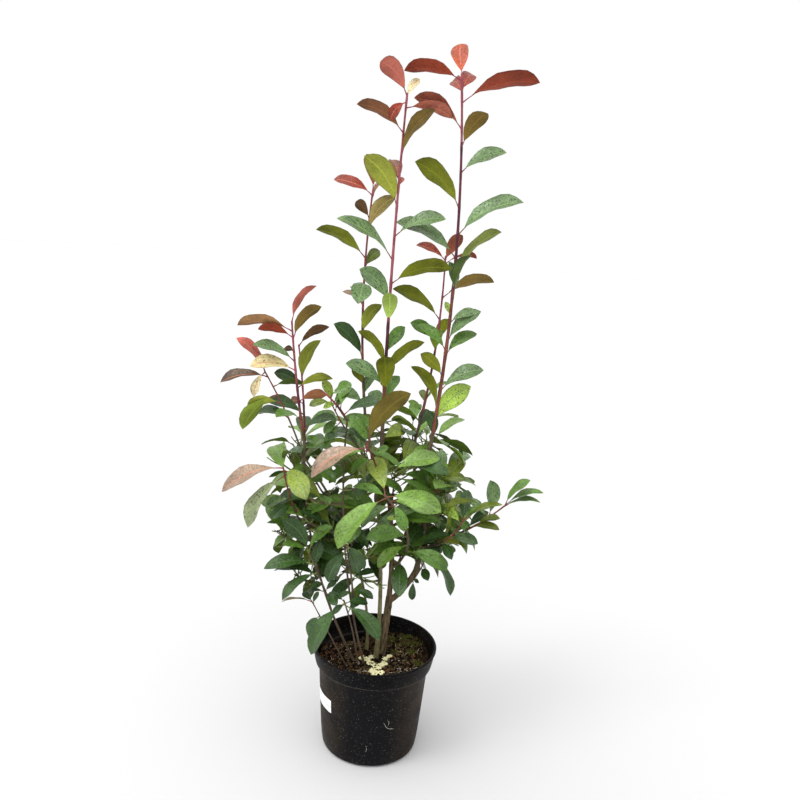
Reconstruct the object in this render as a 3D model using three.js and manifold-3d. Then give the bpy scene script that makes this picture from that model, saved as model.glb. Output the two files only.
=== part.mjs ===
// A young evergreen shrub in its round nursery pot.
// Millimetres, +Z up. The origin is the centre of the pot's flat underside.
// The front of the plant, as it was photographed, looks towards -Y.
import * as THREE from 'three';
import Module from 'manifold-3d';

// Driving dimensions of the pot.
const rimRadius = 100;
const potHeight = 175;
const collarFoot = 146;
const collarFootRadius = 94;
const wallTopRadius = 88.2;
const baseRadius = 76.8;
const middleRadius = 80.2;
const wall = 2;
const drainSlots = 8;

// Driving dimensions of the plant.
const groundLevel = 152;
const gap = 0.3;
const roundSegments = 36;
const trunkFoot = [11, 11];
const forkHeight = 256;
const trunkRadius = 6.6;
const crownRadius = 166;
const crownMiddle = -18;
const lowLeaf = 76;
const leafWidth = 0.38;
const leafThickness = 1;
const leafCurl = 52;
const leafDroop = 24;
const spiralTurn = 144;

const wasm = await Module();
wasm.setup();
const degree = Math.PI / 180;
const sideways = new THREE.Vector3(1, 0, 0);
const upwards = new THREE.Vector3(0, 0, 1);

// Joins equal corners of a geometry, drops faces without area and makes a solid.
function solidFrom(geometry) {
  const position = geometry.getAttribute('position');
  const index = geometry.getIndex();
  const total = index ? index.count : position.count;
  const known = new Map();
  const corners = [];
  const faces = [];
  const cornerOf = (i) => {
    const vertex = index ? index.getX(i) : i;
    const p = [position.getX(vertex), position.getY(vertex), position.getZ(vertex)];
    const key = p.map((value) => Math.round(value * 2000)).join(' ');
    if (!known.has(key)) {
      known.set(key, known.size);
      corners.push(...p);
    }
    return known.get(key);
  };
  for (let i = 0; i < total; i += 3) {
    const face = [cornerOf(i), cornerOf(i + 1), cornerOf(i + 2)];
    if (new Set(face).size === 3) faces.push(...face);
  }
  return new wasm.Manifold(new wasm.Mesh({
    numProp: 3,
    vertProperties: new Float32Array(corners),
    triVerts: new Uint32Array(faces),
  }));
}

// Moves every corner of a geometry to where the rule puts it.
function shaped(geometry, rule) {
  const position = geometry.getAttribute('position');
  for (let i = 0; i < position.count; i += 1) {
    const p = rule(position.getX(i), position.getY(i), position.getZ(i));
    position.setXYZ(i, p.x, p.y, p.z);
  }
  return geometry;
}

// A bowed line from one point to another; sag is how far its middle is pushed out.
function bow(from, to, sag) {
  const start = new THREE.Vector3(...from);
  const end = new THREE.Vector3(...to);
  const push = new THREE.Vector3(...sag);
  const chord = end.clone().sub(start);
  const span = chord.length();
  const steep = Math.abs(chord.z) > 0.6 * span;
  return {
    span,
    guide: steep ? sideways : upwards,
    at: (t) => start.clone().addScaledVector(chord, t).addScaledVector(push, 4 * t * (1 - t)),
    along: (t) => chord.clone().addScaledVector(push, 4 - 8 * t).normalize(),
  };
}

// Where on a rising line a height is reached.
function reachOf(path, height) {
  let low = 0;
  let high = 1;
  for (let i = 0; i < 30; i += 1) {
    const middle = (low + high) / 2;
    if (path.at(middle).z < height) low = middle;
    else high = middle;
  }
  return low;
}

// A limb: a closed cylinder bent along its line and tapered from foot to tip.
function limbSolid(limb, grow = 0) {
  const { path, radii, sides, rings } = limb;
  const reach = grow / path.span;
  const extra = grow / Math.cos(Math.PI / sides);
  const flare = limb.flare ?? 0;
  const geometry = new THREE.CylinderGeometry(1, 1, 1, sides, rings);
  return solidFrom(shaped(geometry, (x, y, z) => {
    const t = (y + 0.5) * (1 + 2 * reach) - reach;
    const side = path.guide.clone();
    const along = path.along(t);
    side.addScaledVector(along, -side.dot(along)).normalize();
    const third = side.clone().cross(along);
    const taper = radii[0] + (radii[1] - radii[0]) * t;
    const radius = taper + flare * Math.exp(-12 * Math.max(t, 0)) + extra;
    return path.at(t).addScaledVector(side, x * radius).addScaledVector(third, z * radius);
  }));
}

// A leaf with its stalk: a flat blade with a keel, arching over as it goes out.
// turn is its compass angle from +X, lift the slope of the line to its tip.
function leafSolid(leaf) {
  const { root, turn, lift, length } = leaf;
  const curl = (leaf.curl ?? leafCurl) * degree;
  const roll = (leaf.roll ?? 0) * degree;
  const rise = lift * degree + curl / 2;
  const arcLength = length * (curl / 2) / Math.sin(curl / 2);
  const out = new THREE.Vector3(Math.cos(turn * degree), Math.sin(turn * degree), 0);
  const across = new THREE.Vector3(-out.y, out.x, 0);
  const half = length * leafWidth / 2;
  const stations = leaf.fine ? [0, 0.52, 0.82, 1] : [0, 0.62, 1];
  const widths = leaf.fine ? [0.35, half, 0.86 * half, 0] : [0.35, half, 0];
  const keels = leaf.fine ? [0.45, leafThickness, 0.8, 0] : [0.45, leafThickness, 0];
  const steps = stations.length - 1;
  const geometry = new THREE.ConeGeometry(1, 1, 3, steps);
  return solidFrom(shaped(geometry, (x, y, z) => {
    const step = Math.round((y + 0.5) * steps);
    const slope = rise - curl * stations[step];
    const distance = (Math.sin(rise) - Math.sin(slope)) * arcLength / curl;
    const height = (Math.cos(slope) - Math.cos(rise)) * arcLength / curl;
    const face = upwards.clone().multiplyScalar(Math.cos(slope)).addScaledVector(out, -Math.sin(slope));
    const side = across.clone().multiplyScalar(Math.cos(roll)).addScaledVector(face, Math.sin(roll));
    const normal = face.multiplyScalar(Math.cos(roll)).addScaledVector(across, -Math.sin(roll));
    const p = root.clone().addScaledVector(out, distance).addScaledVector(upwards, height);
    if (Math.hypot(x, z) < 1e-6) return step === 0 ? p.addScaledVector(normal, -0.15) : p;
    if (Math.abs(x) < 1e-6) return p.addScaledVector(normal, -keels[step]);
    return p.addScaledVector(side, Math.sign(x) * widths[step]);
  }));
}

// A repeatable stream of numbers from 0 to 1.
function seededNumbers(seed) {
  let state = (seed * 2654435761) % 4294967296;
  return () => {
    state = (Math.imul(state, 1664525) + 1013904223) >>> 0;
    return state / 4294967296;
  };
}

// The limbs: foot, tip, sag of the middle, radius at foot and tip.
function limbOf(from, to, sag, radii, sides = 7, rings = 7, flare = 0) {
  return { path: bow(from, to, sag), radii, sides, rings, flare };
}

const underGround = groundLevel - 8;
const limbs = {
  trunk: limbOf([...trunkFoot, underGround], [19, 0, forkHeight], [0, 0, 0],
    [trunkRadius, 5.8], 9, 8, 3.4),
  middle_bough: limbOf([19, -5, 283], [-9, -10, 492], [8, 0, 1], [4.1, 2.5], 7, 8),
  right_bough: limbOf([58, 8, 301], [59, 10, 457], [8, 0, 1], [4.4, 2.8], 7, 7),
  back_bough: limbOf([62, 9, 323], [43, 50, 507], [-4, 8, 0], [3, 2.2], 7, 7),
  centre_stem: limbOf([3, -7, underGround], [-38, 16, 550], [16, -14, 1], [3.6, 2], 7, 9, 1),
  front_stem: limbOf([-13, -24, underGround], [-60, -50, 556], [-17, -4, -2], [2.2, 1.5], 7, 9, 1),
  left_stem: limbOf([-28, -18, underGround], [-121, -42, 508], [-24, 2, -3], [2.5, 1.9], 7, 9, 1),
  thin_back_stem: limbOf([-12, 13, underGround], [-127, -10, 483], [30, 14, 2], [2.2, 1.7], 7, 9, 1),
};

// A point on a limb's centre line, which runs straight from ring to ring.
function pointOn(limb, t) {
  const step = Math.min(Math.floor(t * limb.rings), limb.rings - 1);
  const from = limb.path.at(step / limb.rings);
  const to = limb.path.at((step + 1) / limb.rings);
  return from.lerp(to, t * limb.rings - step);
}

const trunkArms = [
  limbOf([18, 1, 247], [19, -5, 285], [0, 0, 0], [4.8, 4.1]),
  limbOf([17, 1, 247], [58, 8, 301], [2, 0, -5], [5, 4.4]),
];
const grounded = ['trunk', 'centre_stem', 'front_stem', 'left_stem', 'thin_back_stem'];
const limbSeats = { middle_bough: 'trunk', right_bough: 'trunk', back_bough: 'right_bough' };

// Solid of a limb, also a little grown, for cutting its neighbours clear of it.
function limbBody(name, grow = 0) {
  const bodies = [limbSolid(limbs[name], grow)];
  if (name === 'trunk') bodies.push(...trunkArms.map((arm) => limbSolid(arm, grow)));
  let body = wasm.Manifold.union(bodies);
  if (grounded.includes(name)) body = body.trimByPlane([0, 0, 1], groundLevel + gap - grow);
  return body;
}

// Leafy leaders: tip of a bough or stem carried on, with leaves as rows of
// height above the ground, turn, length, lift and roll.
const leaders = {
  tall_right_leader: {
    on: 'right_bough', to: [70, 10, 1047], sag: [17, 0, 1],
    radii: [3.1, 1.5], rings: 10,
    leaves: [
      [1044, 94, 72, 46, -11], [1023, 71, 55, 35, 33], [1038, -176, 82, 5, 30],
      [1009, -3, 111, 17, -20], [973, 175, 81, 29, 34], [949, -52, 66, 41, -28], [914, 2, 71, 27, 48],
      [863, 166, 95, 42, 49], [826, -5, 105, 30, 34], [793, -179, 102, 27, -30], [769, 16, 95, 44, -38],
      [747, -63, 69, 52, 15], [740, 167, 49, 79, -38], [668, 0, 69, 47, 36], [649, 21, 60, 34, 32],
      [655, 171, 59, 37, -41], [615, -171, 50, 44, 90], [594, 0, 73, 30, 34], [561, -180, 81, 57, 37],
      [544, 0, 79, 50, 79], [517, 180, 47, 79, -87], [1020, 108, 50, 27, -49], [698, 6, 45, 23, 46],
      [707, 153, 24, 64, -65],
    ],
  },
  tall_middle_leader: {
    on: 'middle_bough', to: [-4, 0, 1015], sag: [-4, 0, -1],
    radii: [2.9, 1.4], rings: 10,
    leaves: [
      [1012, -126, 72, 28, 51], [1009, 33, 34, 55, 42], [1004, -140, 39, -47, -65],
      [996, 7, 67, -8, -36], [962, 180, 76, 27, 32], [928, 0, 81, 57, -30], [892, 109, 54, 41, -11],
      [859, 201, 86, 52, 70], [819, 0, 78, 22, 39], [785, -180, 100, 33, -25], [751, 0, 91, 17, -41],
      [722, 174, 67, 45, -80], [690, -91, 58, 62, 0], [646, 24, 51, 57, 65], [625, -180, 70, 51, 43],
      [612, 0, 80, 46, -35], [596, -178, 69, 30, -51], [583, -94, 76, 62, 7], [570, 44, 52, 55, 24],
      [545, 113, 64, 34, -13], [525, 195, 66, 20, -33], [515, 53, 58, 6, 60], [888, 62, 20, 44, 40],
    ],
  },
  left_middle_leader: {
    on: 'centre_stem', to: [-45, 22, 884], sag: [-9, 0, -1],
    radii: [2.2, 1.2], rings: 8,
    leaves: [
      [882, -119, 54, 65, 29], [875, -180, 60, 18, -47], [869, 53, 54, 42, -24],
      [841, -122, 43, 33, 52], [821, 0, 66, 55, -48], [784, 178, 84, 26, 45], [770, 57, 44, 35, 49],
      [748, -92, 77, -18, -13], [714, 122, 48, 28, 21], [715, 176, 37, 29, -28],
      [670, -26, 58, 59, -40], [634, -166, 70, 48, -53], [590, -146, 41, 57, 69], [575, 21, 44, 67, 52],
      [564, 180, 51, 21, -51],
    ],
  },
  back_leader: {
    on: 'back_bough', to: [69, 60, 793], sag: [8, 0, 1],
    radii: [2.3, 1.2], rings: 7,
    leaves: [
      [787, 180, 50, 23, -40], [784, -41, 52, 55, -58], [782, 31, 59, 9, -26], [730, 10, 85, 19, -39],
      [696, 175, 87, 29, 40], [661, 180, 51, 33, -84], [657, 0, 45, 68, -95], [643, -84, 54, 52, 4],
      [563, 105, 30, 35, -21], [565, 0, 50, 45, 13], [549, 180, 29, 35, -63], [519, 61, 44, 40, 31],
    ],
  },
  left_leader: {
    on: 'left_stem', to: [-146, -50, 693], sag: [-2, 0, 0],
    radii: [2.2, 1.2], rings: 6,
    leaves: [
      [692, 0, 63, 58, -28], [679, 180, 79, 2, 38], [670, 180, 51, 9, 49], [667, 0, 63, 52, -48],
      [649, -123, 23, 17, -95], [635, -180, 65, 18, -24], [622, -180, 66, 1, -44],
      [596, 0, 54, 18, -47], [576, 8, 42, 15, -85], [548, 240, 60, 14, -17], [532, -10, 56, 24, 33],
    ],
  },
  left_back_leader: {
    on: 'thin_back_stem', to: [-140, -10, 653], sag: [3, 0, 0],
    radii: [2, 1.1], rings: 6,
    leaves: [
      [652, 0, 54, 35, -42], [595, 0, 72, 70, -45], [592, 175, 47, 20, -74], [564, 135, 34, -6, -76],
      [547, 185, 62, 18, -34], [527, -21, 58, 28, 32], [507, 102, 62, 23, -7],
    ],
  },
  front_leader: {
    on: 'front_stem', to: [-95, -62, 596], sag: [2, 0, 2],
    radii: [1.8, 1.1], rings: 4,
    leaves: [
      [588, -60, 52, 18, 17], [578, -132, 25, -6, -67], [570, 84, 54, 41, 4], [562, -20, 60, 26, 32],
    ],
  },
};

// Leafy side shoots that the photograph shows plainly: the limb and the height
// where they leave it, then the same rows.
const sideShoots = {
  left_outer_shoot: {
    on: 'left_stem', height: 482, to: [-186, -32, 616], sag: [8, 0, -6],
    radii: [1.6, 0.9], rings: 5,
    leaves: [
      [615, -180, 63, 47, -24], [614, -165, 41, -68, -46], [607, -180, 71, -11, -25],
      [593, 10, 44, 6, -49], [581, 184, 74, -48, 50], [569, -178, 51, -9, 58], [548, 150, 58, -3, -29],
    ],
  },
  left_side_shoot: {
    on: 'left_stem', height: 350, to: [-150, -56, 478], sag: [-6, -6, 2],
    radii: [2, 1.1], rings: 5,
    leaves: [
      [477, -176, 98, -25, -20], [474, -56, 78, -16, 38], [465, -164, 95, -57, -19],
      [467, 112, 79, 16, -23], [428, 171, 41, -26, -51], [418, -127, 45, -14, -53],
      [465, 50, 49, -6, 71], [410, -18, 47, -17, 13], [388, -14, 66, 41, 46],
    ],
  },
  upper_front_shoot: {
    on: 'centre_stem', height: 470, to: [-86, -40, 577], sag: [-6, -6, 4],
    radii: [1.5, 0.9], rings: 5,
    leaves: [
      [577, -169, 32, -11, -50], [577, -172, 36, 66, -87], [571, -8, 40, 47, 50],
      [551, -135, 34, -34, -52], [547, -133, 46, -57, -10], [563, -18, 25, 59, 65],
    ],
  },
  front_shoot: {
    on: 'middle_bough', height: 308, to: [2, -92, 458], sag: [30, -4, -4],
    radii: [2.3, 1.3], rings: 7,
    leaves: [
      [457, 113, 75, 29, -27], [455, -13, 82, -8, 68], [454, -161, 101, -47, -24],
      [452, 171, 54, 12, -16], [448, 11, 57, -20, 38], [445, -29, 45, -58, 55],
      [440, 163, 64, -42, -45], [425, 156, 41, -44, -72], [414, -165, 24, 6, -33],
      [380, -148, 73, 7, -68], [365, -147, 58, -29, -21], [357, 63, 58, 15, 34],
      [350, -12, 69, -18, 44], [328, -88, 69, -27, 4],
    ],
  },
  bronze_shoot: {
    on: 'centre_stem', height: 441, to: [-28, -84, 527], sag: [8, -4, -2],
    radii: [2, 1.2], rings: 5,
    leaves: [
      [527, -4, 100, 55, -51], [524, -168, 91, -30, -23], [527, 164, 50, 54, -35],
      [524, 157, 42, 29, -18], [518, 167, 80, -29, -39], [506, 24, 28, 30, 64],
      [503, 159, 44, -41, -52],
    ],
  },
  right_upper_shoot: {
    on: 'right_bough', height: 405, to: [84, -18, 472], sag: [2, -6, -2],
    radii: [1.7, 1], rings: 4,
    leaves: [
      [469, 109, 41, 81, -21], [460, -11, 41, 10, 73], [453, -33, 40, 68, 79], [445, -168, 71, 49, -53],
      [441, 13, 37, 14, 52], [428, 39, 72, 80, -22], [449, -173, 64, 57, -37],
    ],
  },
  right_side_shoot: {
    on: 'right_bough', height: 348, to: [188, -8, 426], sag: [0, -10, -8],
    radii: [2, 1.1], rings: 5,
    leaves: [
      [425, 0, 56, 51, 15], [425, -4, 62, 24, 2], [422, -8, 58, 14, 4], [405, -131, 62, 85, -124],
      [392, -13, 38, 23, 39], [386, -18, 45, 6, 24], [403, 162, 41, 39, -33], [383, 24, 43, 36, 33],
    ],
  },
  right_front_shoot: {
    on: 'right_bough', height: 342, to: [123, -34, 407], sag: [4, -12, -8],
    radii: [1.7, 1], rings: 4,
    leaves: [
      [406, 2, 64, 26, -1], [403, 75, 51, 57, 9], [399, 138, 45, 23, -54], [366, -117, 63, 86, -98],
      [373, -18, 46, 0, 67], [388, 46, 32, 6, 53], [362, -70, 44, -12, 35], [407, 21, 39, 29, 22],
      [344, 36, 41, -26, 83],
    ],
  },
  low_right_shoot: {
    on: 'trunk', height: 262, to: [70, -14, 329], sag: [6, -6, -4],
    radii: [1.5, 0.9], rings: 4,
    leaves: [
      [315, -72, 36, -7, 31], [294, -60, 18, 9, 58], [294, -89, 31, -72, 3], [327, 32, 34, 30, 51],
      [325, 163, 38, 27, -62], [329, 20, 43, -18, 52],
    ],
  },
  left_low_shoot: {
    on: 'left_stem', height: 240, to: [-108, -56, 349], sag: [4, -6, 0],
    radii: [2, 1.1], rings: 4,
    leaves: [
      [348, -174, 64, 50, -74], [348, -165, 42, 19, -20], [347, -10, 57, 52, 37],
      [327, -174, 76, -7, -24], [306, 172, 72, -1, -8], [321, 56, 43, 77, 36], [313, -154, 67, -35, -9],
      [288, -126, 29, 19, -72], [273, -60, 41, -2, 39], [277, 40, 25, 33, 48], [277, 158, 40, -25, -19],
    ],
  },
  middle_low_shoot: {
    on: 'front_stem', height: 232, to: [-51, -58, 364], sag: [3, -3, 0],
    radii: [1.8, 1.1], rings: 4,
    leaves: [
      [355, -130, 55, -47, -40], [359, -51, 43, -43, 34], [363, -35, 45, -37, 48],
      [305, -16, 41, 26, 21], [286, -23, 36, -10, 31], [281, -153, 23, -11, -59], [336, 40, 32, 15, 54],
      [359, 39, 38, 48, 49],
    ],
  },
  low_hanging_shoot: {
    on: 'ground', from: [-23, -34, underGround], to: [-50, -62, 276], sag: [3, 4, 0],
    radii: [1.5, 1], rings: 5,
    leaves: [
      [271, -154, 93, -57, -13], [266, -25, 73, -34, 22], [268, -136, 25, -22, -47],
      [270, 19, 37, -7, 34], [273, 163, 28, 14, -59], [252, 35, 29, 32, 50],
    ],
  },
  low_left_shoot: {
    on: 'ground', from: [-37, -40, underGround], to: [-99, -56, 268], sag: [-2, 0, 4],
    radii: [1.2, 0.8], rings: 5,
    leaves: [
      [267, -175, 47, -3, 17], [266, 142, 24, 16, -47], [263, 43, 20, 62, 46], [242, 131, 55, -64, -95],
    ],
  },
};

// Leafy sprays of the full lower crown: limb, height on it, compass turn, lift,
// length of the spray's stem.
const sprays = {
  low_left_spray: ['left_stem', 283, 190, 20, 46],
  low_front_spray: ['centre_stem', 290, 230, 18, 50],
  low_right_front_spray: ['middle_bough', 330, -20, 20, 44],
  low_right_spray: ['right_bough', 330, 0, 26, 40],
  low_back_right_spray: ['back_bough', 352, 60, 24, 66],
  low_back_spray: ['thin_back_stem', 290, 96, 24, 92],
  low_back_left_spray: ['thin_back_stem', 329, 146, 18, 88],
  left_spray: ['left_stem', 344, 178, 22, 60],
  front_left_spray: ['front_stem', 376, 185, 16, 56],
  front_spray: ['front_stem', 330, 330, 24, 50],
  middle_front_spray: ['centre_stem', 384, 290, 30, 50],
  right_front_spray: ['right_bough', 392, -50, 30, 44],
  right_spray: ['right_bough', 424, 10, 20, 44],
  back_right_spray: ['back_bough', 416, 38, 24, 66],
  back_spray: ['middle_bough', 399, 88, 26, 104],
  back_left_spray: ['thin_back_stem', 397, 128, 26, 90],
  high_left_spray: ['left_stem', 448, 128, 34, 66],
  high_front_left_spray: ['front_stem', 424, 205, 14, 56],
  high_front_spray: ['front_stem', 446, 330, 24, 50],
  high_right_front_spray: ['middle_bough', 452, -60, 34, 44],
  high_right_spray: ['back_bough', 473, 60, 34, 44],
  high_back_spray: ['back_bough', 455, 96, 38, 84],
  high_back_left_spray: ['thin_back_stem', 441, 152, 42, 74],
  high_middle_spray: ['middle_bough', 438, 176, 52, 76],
};

// Direction with a compass turn and a lift.
function heading(turn, lift) {
  const flat = Math.cos(lift * degree);
  return new THREE.Vector3(
    flat * Math.cos(turn * degree), flat * Math.sin(turn * degree), Math.sin(lift * degree));
}

// A twig from a point on its parent's line, curving up towards its tip.
function twigOf(start, turn, lift, length, radii, rings) {
  const end = start.clone().addScaledVector(heading(turn, lift), length);
  return { path: bow(start.toArray(), end.toArray(), [0, 0, -0.07 * length]), radii, sides: 3, rings };
}

// Leaves set round a twig by the spiral rule, hanging a little by their own weight.
function spiralLeaves(twigs, number, count, first, random) {
  const twig = twigs[number];
  const leaves = [];
  for (let i = 0; i < count; i += 1) {
    const t = first + (1 - first) * i / (count - 1);
    const along = twig.path.along(t);
    const side = twig.path.guide.clone().addScaledVector(along, -twig.path.guide.dot(along)).normalize();
    const third = side.clone().cross(along);
    const spin = (spiralTurn * i + 360 * twig.spin + 24 * random()) * degree;
    const open = (t > 0.98 ? 18 : 52) + 14 * random();
    const out = along.multiplyScalar(Math.cos(open * degree))
      .addScaledVector(side, Math.sin(open * degree) * Math.cos(spin))
      .addScaledVector(third, Math.sin(open * degree) * Math.sin(spin));
    const root = pointOn(twig, Math.min(t, 0.985));
    const leafTurn = Math.atan2(out.y, out.x);
    const outward = Math.atan2(root.y, root.x - crownMiddle);
    leaves.push({
      twig: number,
      root,
      turn: leafTurn / degree,
      lift: 0.7 * Math.asin(out.z) / degree - leafDroop,
      length: lowLeaf * (0.84 + 0.3 * random()),
      roll: 34 * Math.sin(leafTurn - outward) + 30 * (random() - 0.5),
    });
  }
  return leaves;
}

// The seeded rule of a spray: one stem, side twigs left and right of it by turns.
function sprayParts(row, seed) {
  const [on, height, turn, lift, length] = row;
  const random = seededNumbers(seed);
  const start = pointOn(limbs[on], reachOf(limbs[on].path, height));
  const stem = twigOf(start, turn, lift, length, [2.1, 1.2], 3);
  stem.spin = random();
  const twigs = [stem];
  const sideTwigs = 2;
  for (let i = 0; i < sideTwigs; i += 1) {
    const t = 0.4 + 0.34 * i / (sideTwigs - 1);
    const sideTurn = turn + (i % 2 ? -1 : 1) * (44 + 16 * random());
    const sideLift = lift + 12 * random();
    const sideLength = length * (0.6 - 0.1 * i);
    const twig = twigOf(pointOn(stem, t), sideTurn, sideLift, sideLength, [1.5, 1.1], 1);
    twig.spin = random();
    twigs.push(twig);
  }
  const leaves = twigs.flatMap((twig, i) => spiralLeaves(twigs, i, i ? 4 : 5, 0.4, random));
  return { on, twigs, leaves };
}

// Stem and leaves of a leader or side shoot from its rows.
function shootParts(name, shoot, seed) {
  const random = seededNumbers(seed);
  let start = shoot.from;
  if (!start) {
    const parent = limbs[shoot.on];
    const { path: line } = parent;
    start = pointOn(parent, shoot.height ? reachOf(line, shoot.height) : 1 - 3 / line.span).toArray();
  }
  const path = bow(start, shoot.to, shoot.sag);
  const stem = { path, radii: shoot.radii, sides: name in leaders ? 5 : 3, rings: shoot.rings };
  const leaves = shoot.leaves.map(([height, turn, length, lift, roll]) => ({
    twig: 0,
    root: pointOn(stem, Math.min(reachOf(path, height), 0.995)),
    turn,
    lift,
    length,
    roll: roll + 8 * (random() - 0.5),
    fine: true,
  }));
  return { on: shoot.on, twigs: [stem], leaves };
}

// The room that the lower crown may fill, as a radius about the plant's axis.
function crownRoom(height) {
  if (height < 240) return 0.6 * crownRadius;
  if (height < 380) return (0.6 + 0.4 * (height - 240) / 140) * crownRadius;
  if (height < 520) return crownRadius;
  return Math.max(0.45, 1 - 0.55 * (height - 520) / 130) * crownRadius;
}

// How far the sprays come forward. The marked shoots stand in front of them.
function frontRoom(height) {
  return 24 + 56 * Math.min(1, Math.max(0, (height - 240) / 280));
}

function insideCrown(solid) {
  const box = solid.boundingBox();
  const middle = (box.min[2] + box.max[2]) / 2;
  const farX = Math.max(Math.abs(box.min[0] - crownMiddle), Math.abs(box.max[0] - crownMiddle));
  const farY = Math.max(Math.abs(box.min[1]), Math.abs(box.max[1]));
  const clear = box.min[2] > 185 && box.min[1] > -frontRoom(middle);
  return clear && Math.max(farX, farY) < crownRoom(middle);
}

function boxesMeet(a, b) {
  return [0, 1, 2].every((k) => a.min[k] < b.max[k] + gap && b.min[k] < a.max[k] + gap);
}

// Whether a solid comes within the gap of any of the others.
function touches(solid, others) {
  const box = solid.boundingBox();
  return others.some((other) => boxesMeet(box, other.box) && solid.minGap(other.solid, gap) < gap);
}

// Cutting a limb's foot clear can leave a crumb, which is dropped.
function largestPiece(body) {
  return body.decompose().sort((a, b) => b.volume() - a.volume())[0];
}

const boxed = (solid, mass, root) => ({ solid, mass, root, box: solid.boundingBox() });

// Adds a part to its mass when nothing is in its way and says whether it did. Leaves,
// the parts with a root, keep clear of their own limb and of the mass's other leaves too,
// but for those that grow beside them. A twig may pass through its own limb.
function tryPart(name, mass, solid, taken, root) {
  const others = taken.filter((part) => {
    if (part.mass === name) return root && part.root && part.root.distanceTo(root) > 7;
    return root || part.mass !== mass.on;
  });
  if (touches(solid, others)) return false;
  mass.bodies.push(solid);
  taken.push(boxed(solid, name, root));
  return true;
}

// The masses. The shoots and leaves taken from the photograph are placed first,
// then the sprays' stems and last their leaves, each only where there is room.
function growMasses(fixed) {
  const masses = new Map();
  const taken = [...fixed];
  Object.entries({ ...leaders, ...sideShoots }).forEach(([name, shoot], i) => {
    masses.set(name, { ...shootParts(name, shoot, i + 1), bodies: [] });
  });
  const marked = [...masses.keys()];
  Object.entries(sprays).forEach(([name, row], i) => {
    masses.set(name, { ...sprayParts(row, i + 41), bodies: [] });
  });
  const growTwigs = (name) => {
    const mass = masses.get(name);
    mass.grown = mass.twigs.map((twig, i) => (
      (i === 0 || mass.bodies.length > 0) && tryPart(name, mass, limbSolid(twig), taken)));
  };
  const growLeaves = (name, free) => {
    const mass = masses.get(name);
    mass.leaves.filter((leaf) => mass.grown[leaf.twig]).forEach((leaf) => {
      const solid = leafSolid(leaf);
      if (!free || insideCrown(solid)) tryPart(name, mass, solid, taken, leaf.root);
    });
  };
  marked.forEach(growTwigs);
  marked.forEach((name) => growLeaves(name, false));
  Object.keys(sprays).forEach(growTwigs);
  Object.keys(sprays).forEach((name) => growLeaves(name, true));
  masses.forEach((mass, name) => {
    if (!mass.bodies.length) {
      masses.delete(name);
      return;
    }
    let body = wasm.Manifold.union(mass.bodies);
    if (mass.on === 'ground') body = body.trimByPlane([0, 0, 1], groundLevel + gap);
    else body = body.subtract(limbBody(mass.on, gap));
    mass.body = largestPiece(body);
  });
  return masses;
}

// The pot: base, drafted wall, collar and rounded lip turned as one closed profile.
function potSolid() {
  const outside = [
    [0, 0], [69, 0], [74, 2], [baseRadius, 6], [middleRadius, 33], [wallTopRadius, collarFoot],
    [collarFootRadius, collarFoot], [98.4, potHeight - 5], [rimRadius, potHeight - 3.6],
    [rimRadius - 0.8, potHeight],
  ];
  const inside = [
    [rimRadius - 4, potHeight - 0.4], [collarFootRadius - wall, collarFoot + 4],
    [wallTopRadius - wall, collarFoot + 1], [middleRadius - wall, 33], [baseRadius - wall - 1, 8],
    [68, 4], [0, 4],
  ];
  const profile = [...outside, ...inside].map(([r, z]) => new THREE.Vector2(r, z));
  const turned = new THREE.LatheGeometry(profile, roundSegments);
  turned.rotateX(Math.PI / 2);
  let body = solidFrom(turned);
  for (let i = 0; i < drainSlots; i += 1) {
    const slot = new THREE.BoxGeometry(14, 10, 7);
    slot.rotateX(-0.4);
    slot.translate(0, -76, 0);
    slot.rotateZ((i + 0.1) * 2 * Math.PI / drainSlots);
    body = body.subtract(solidFrom(slot));
  }
  return body;
}

// Height of the compost: level round the stems, heaped at the back right and
// sunk away from the wall at the back left.
function soilHeight(x, y) {
  const angle = Math.atan2(y, x) / degree;
  const radius = Math.hypot(x, y);
  const outer = Math.max(0, (radius - 46) / 40);
  const near = (middle, spread) => Math.exp(-(((angle - middle) / spread) ** 2));
  const heap = 7 * near(48, 34) * outer;
  const hollow = 34 * near(118, 34) * outer * outer;
  const ripple = 2.2 * Math.sin(angle * degree * 5) * outer;
  return groundLevel + Math.min(heap - hollow + ripple - 1.5 * outer, 7);
}

// Inner radius of the pot's wall, less the gap, at a height.
function soilEdge(height) {
  const steps = [
    [8, baseRadius - wall - 1], [33, middleRadius - wall], [collarFoot + 1, wallTopRadius - wall],
  ];
  const upper = steps.findIndex(([z]) => z >= height);
  const [high, wide] = steps[upper < 1 ? steps.length - 1 : upper];
  const [low, narrow] = steps[(upper < 1 ? steps.length - 1 : upper) - 1];
  return narrow + (wide - narrow) * Math.min(1, (height - low) / (high - low)) - 1.1 * gap;
}

function soilSolid() {
  const profile = [
    [0, 4 + gap], [67.6, 4 + gap], [baseRadius - wall - 1.6, 8.8], [middleRadius - wall - gap, 33.2],
    [85, 136], [85, groundLevel], [71, groundLevel], [57, groundLevel],
    [44, groundLevel], [0, groundLevel],
  ].map(([r, z]) => new THREE.Vector2(r, z));
  const turned = new THREE.LatheGeometry(profile, roundSegments);
  turned.rotateX(Math.PI / 2);
  return solidFrom(shaped(turned, (x, y, z) => {
    const radius = Math.hypot(x, y);
    if (z < 40 || radius < 50) return new THREE.Vector3(x, y, z);
    const top = soilHeight(x, y);
    let height = z;
    if (z > 140) height = top;
    else if (z > 130) height = Math.min(z, top - 6);
    const edge = radius > 80 ? soilEdge(height) / radius : 1;
    return new THREE.Vector3(x * edge, y * edge, height);
  }));
}

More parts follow.
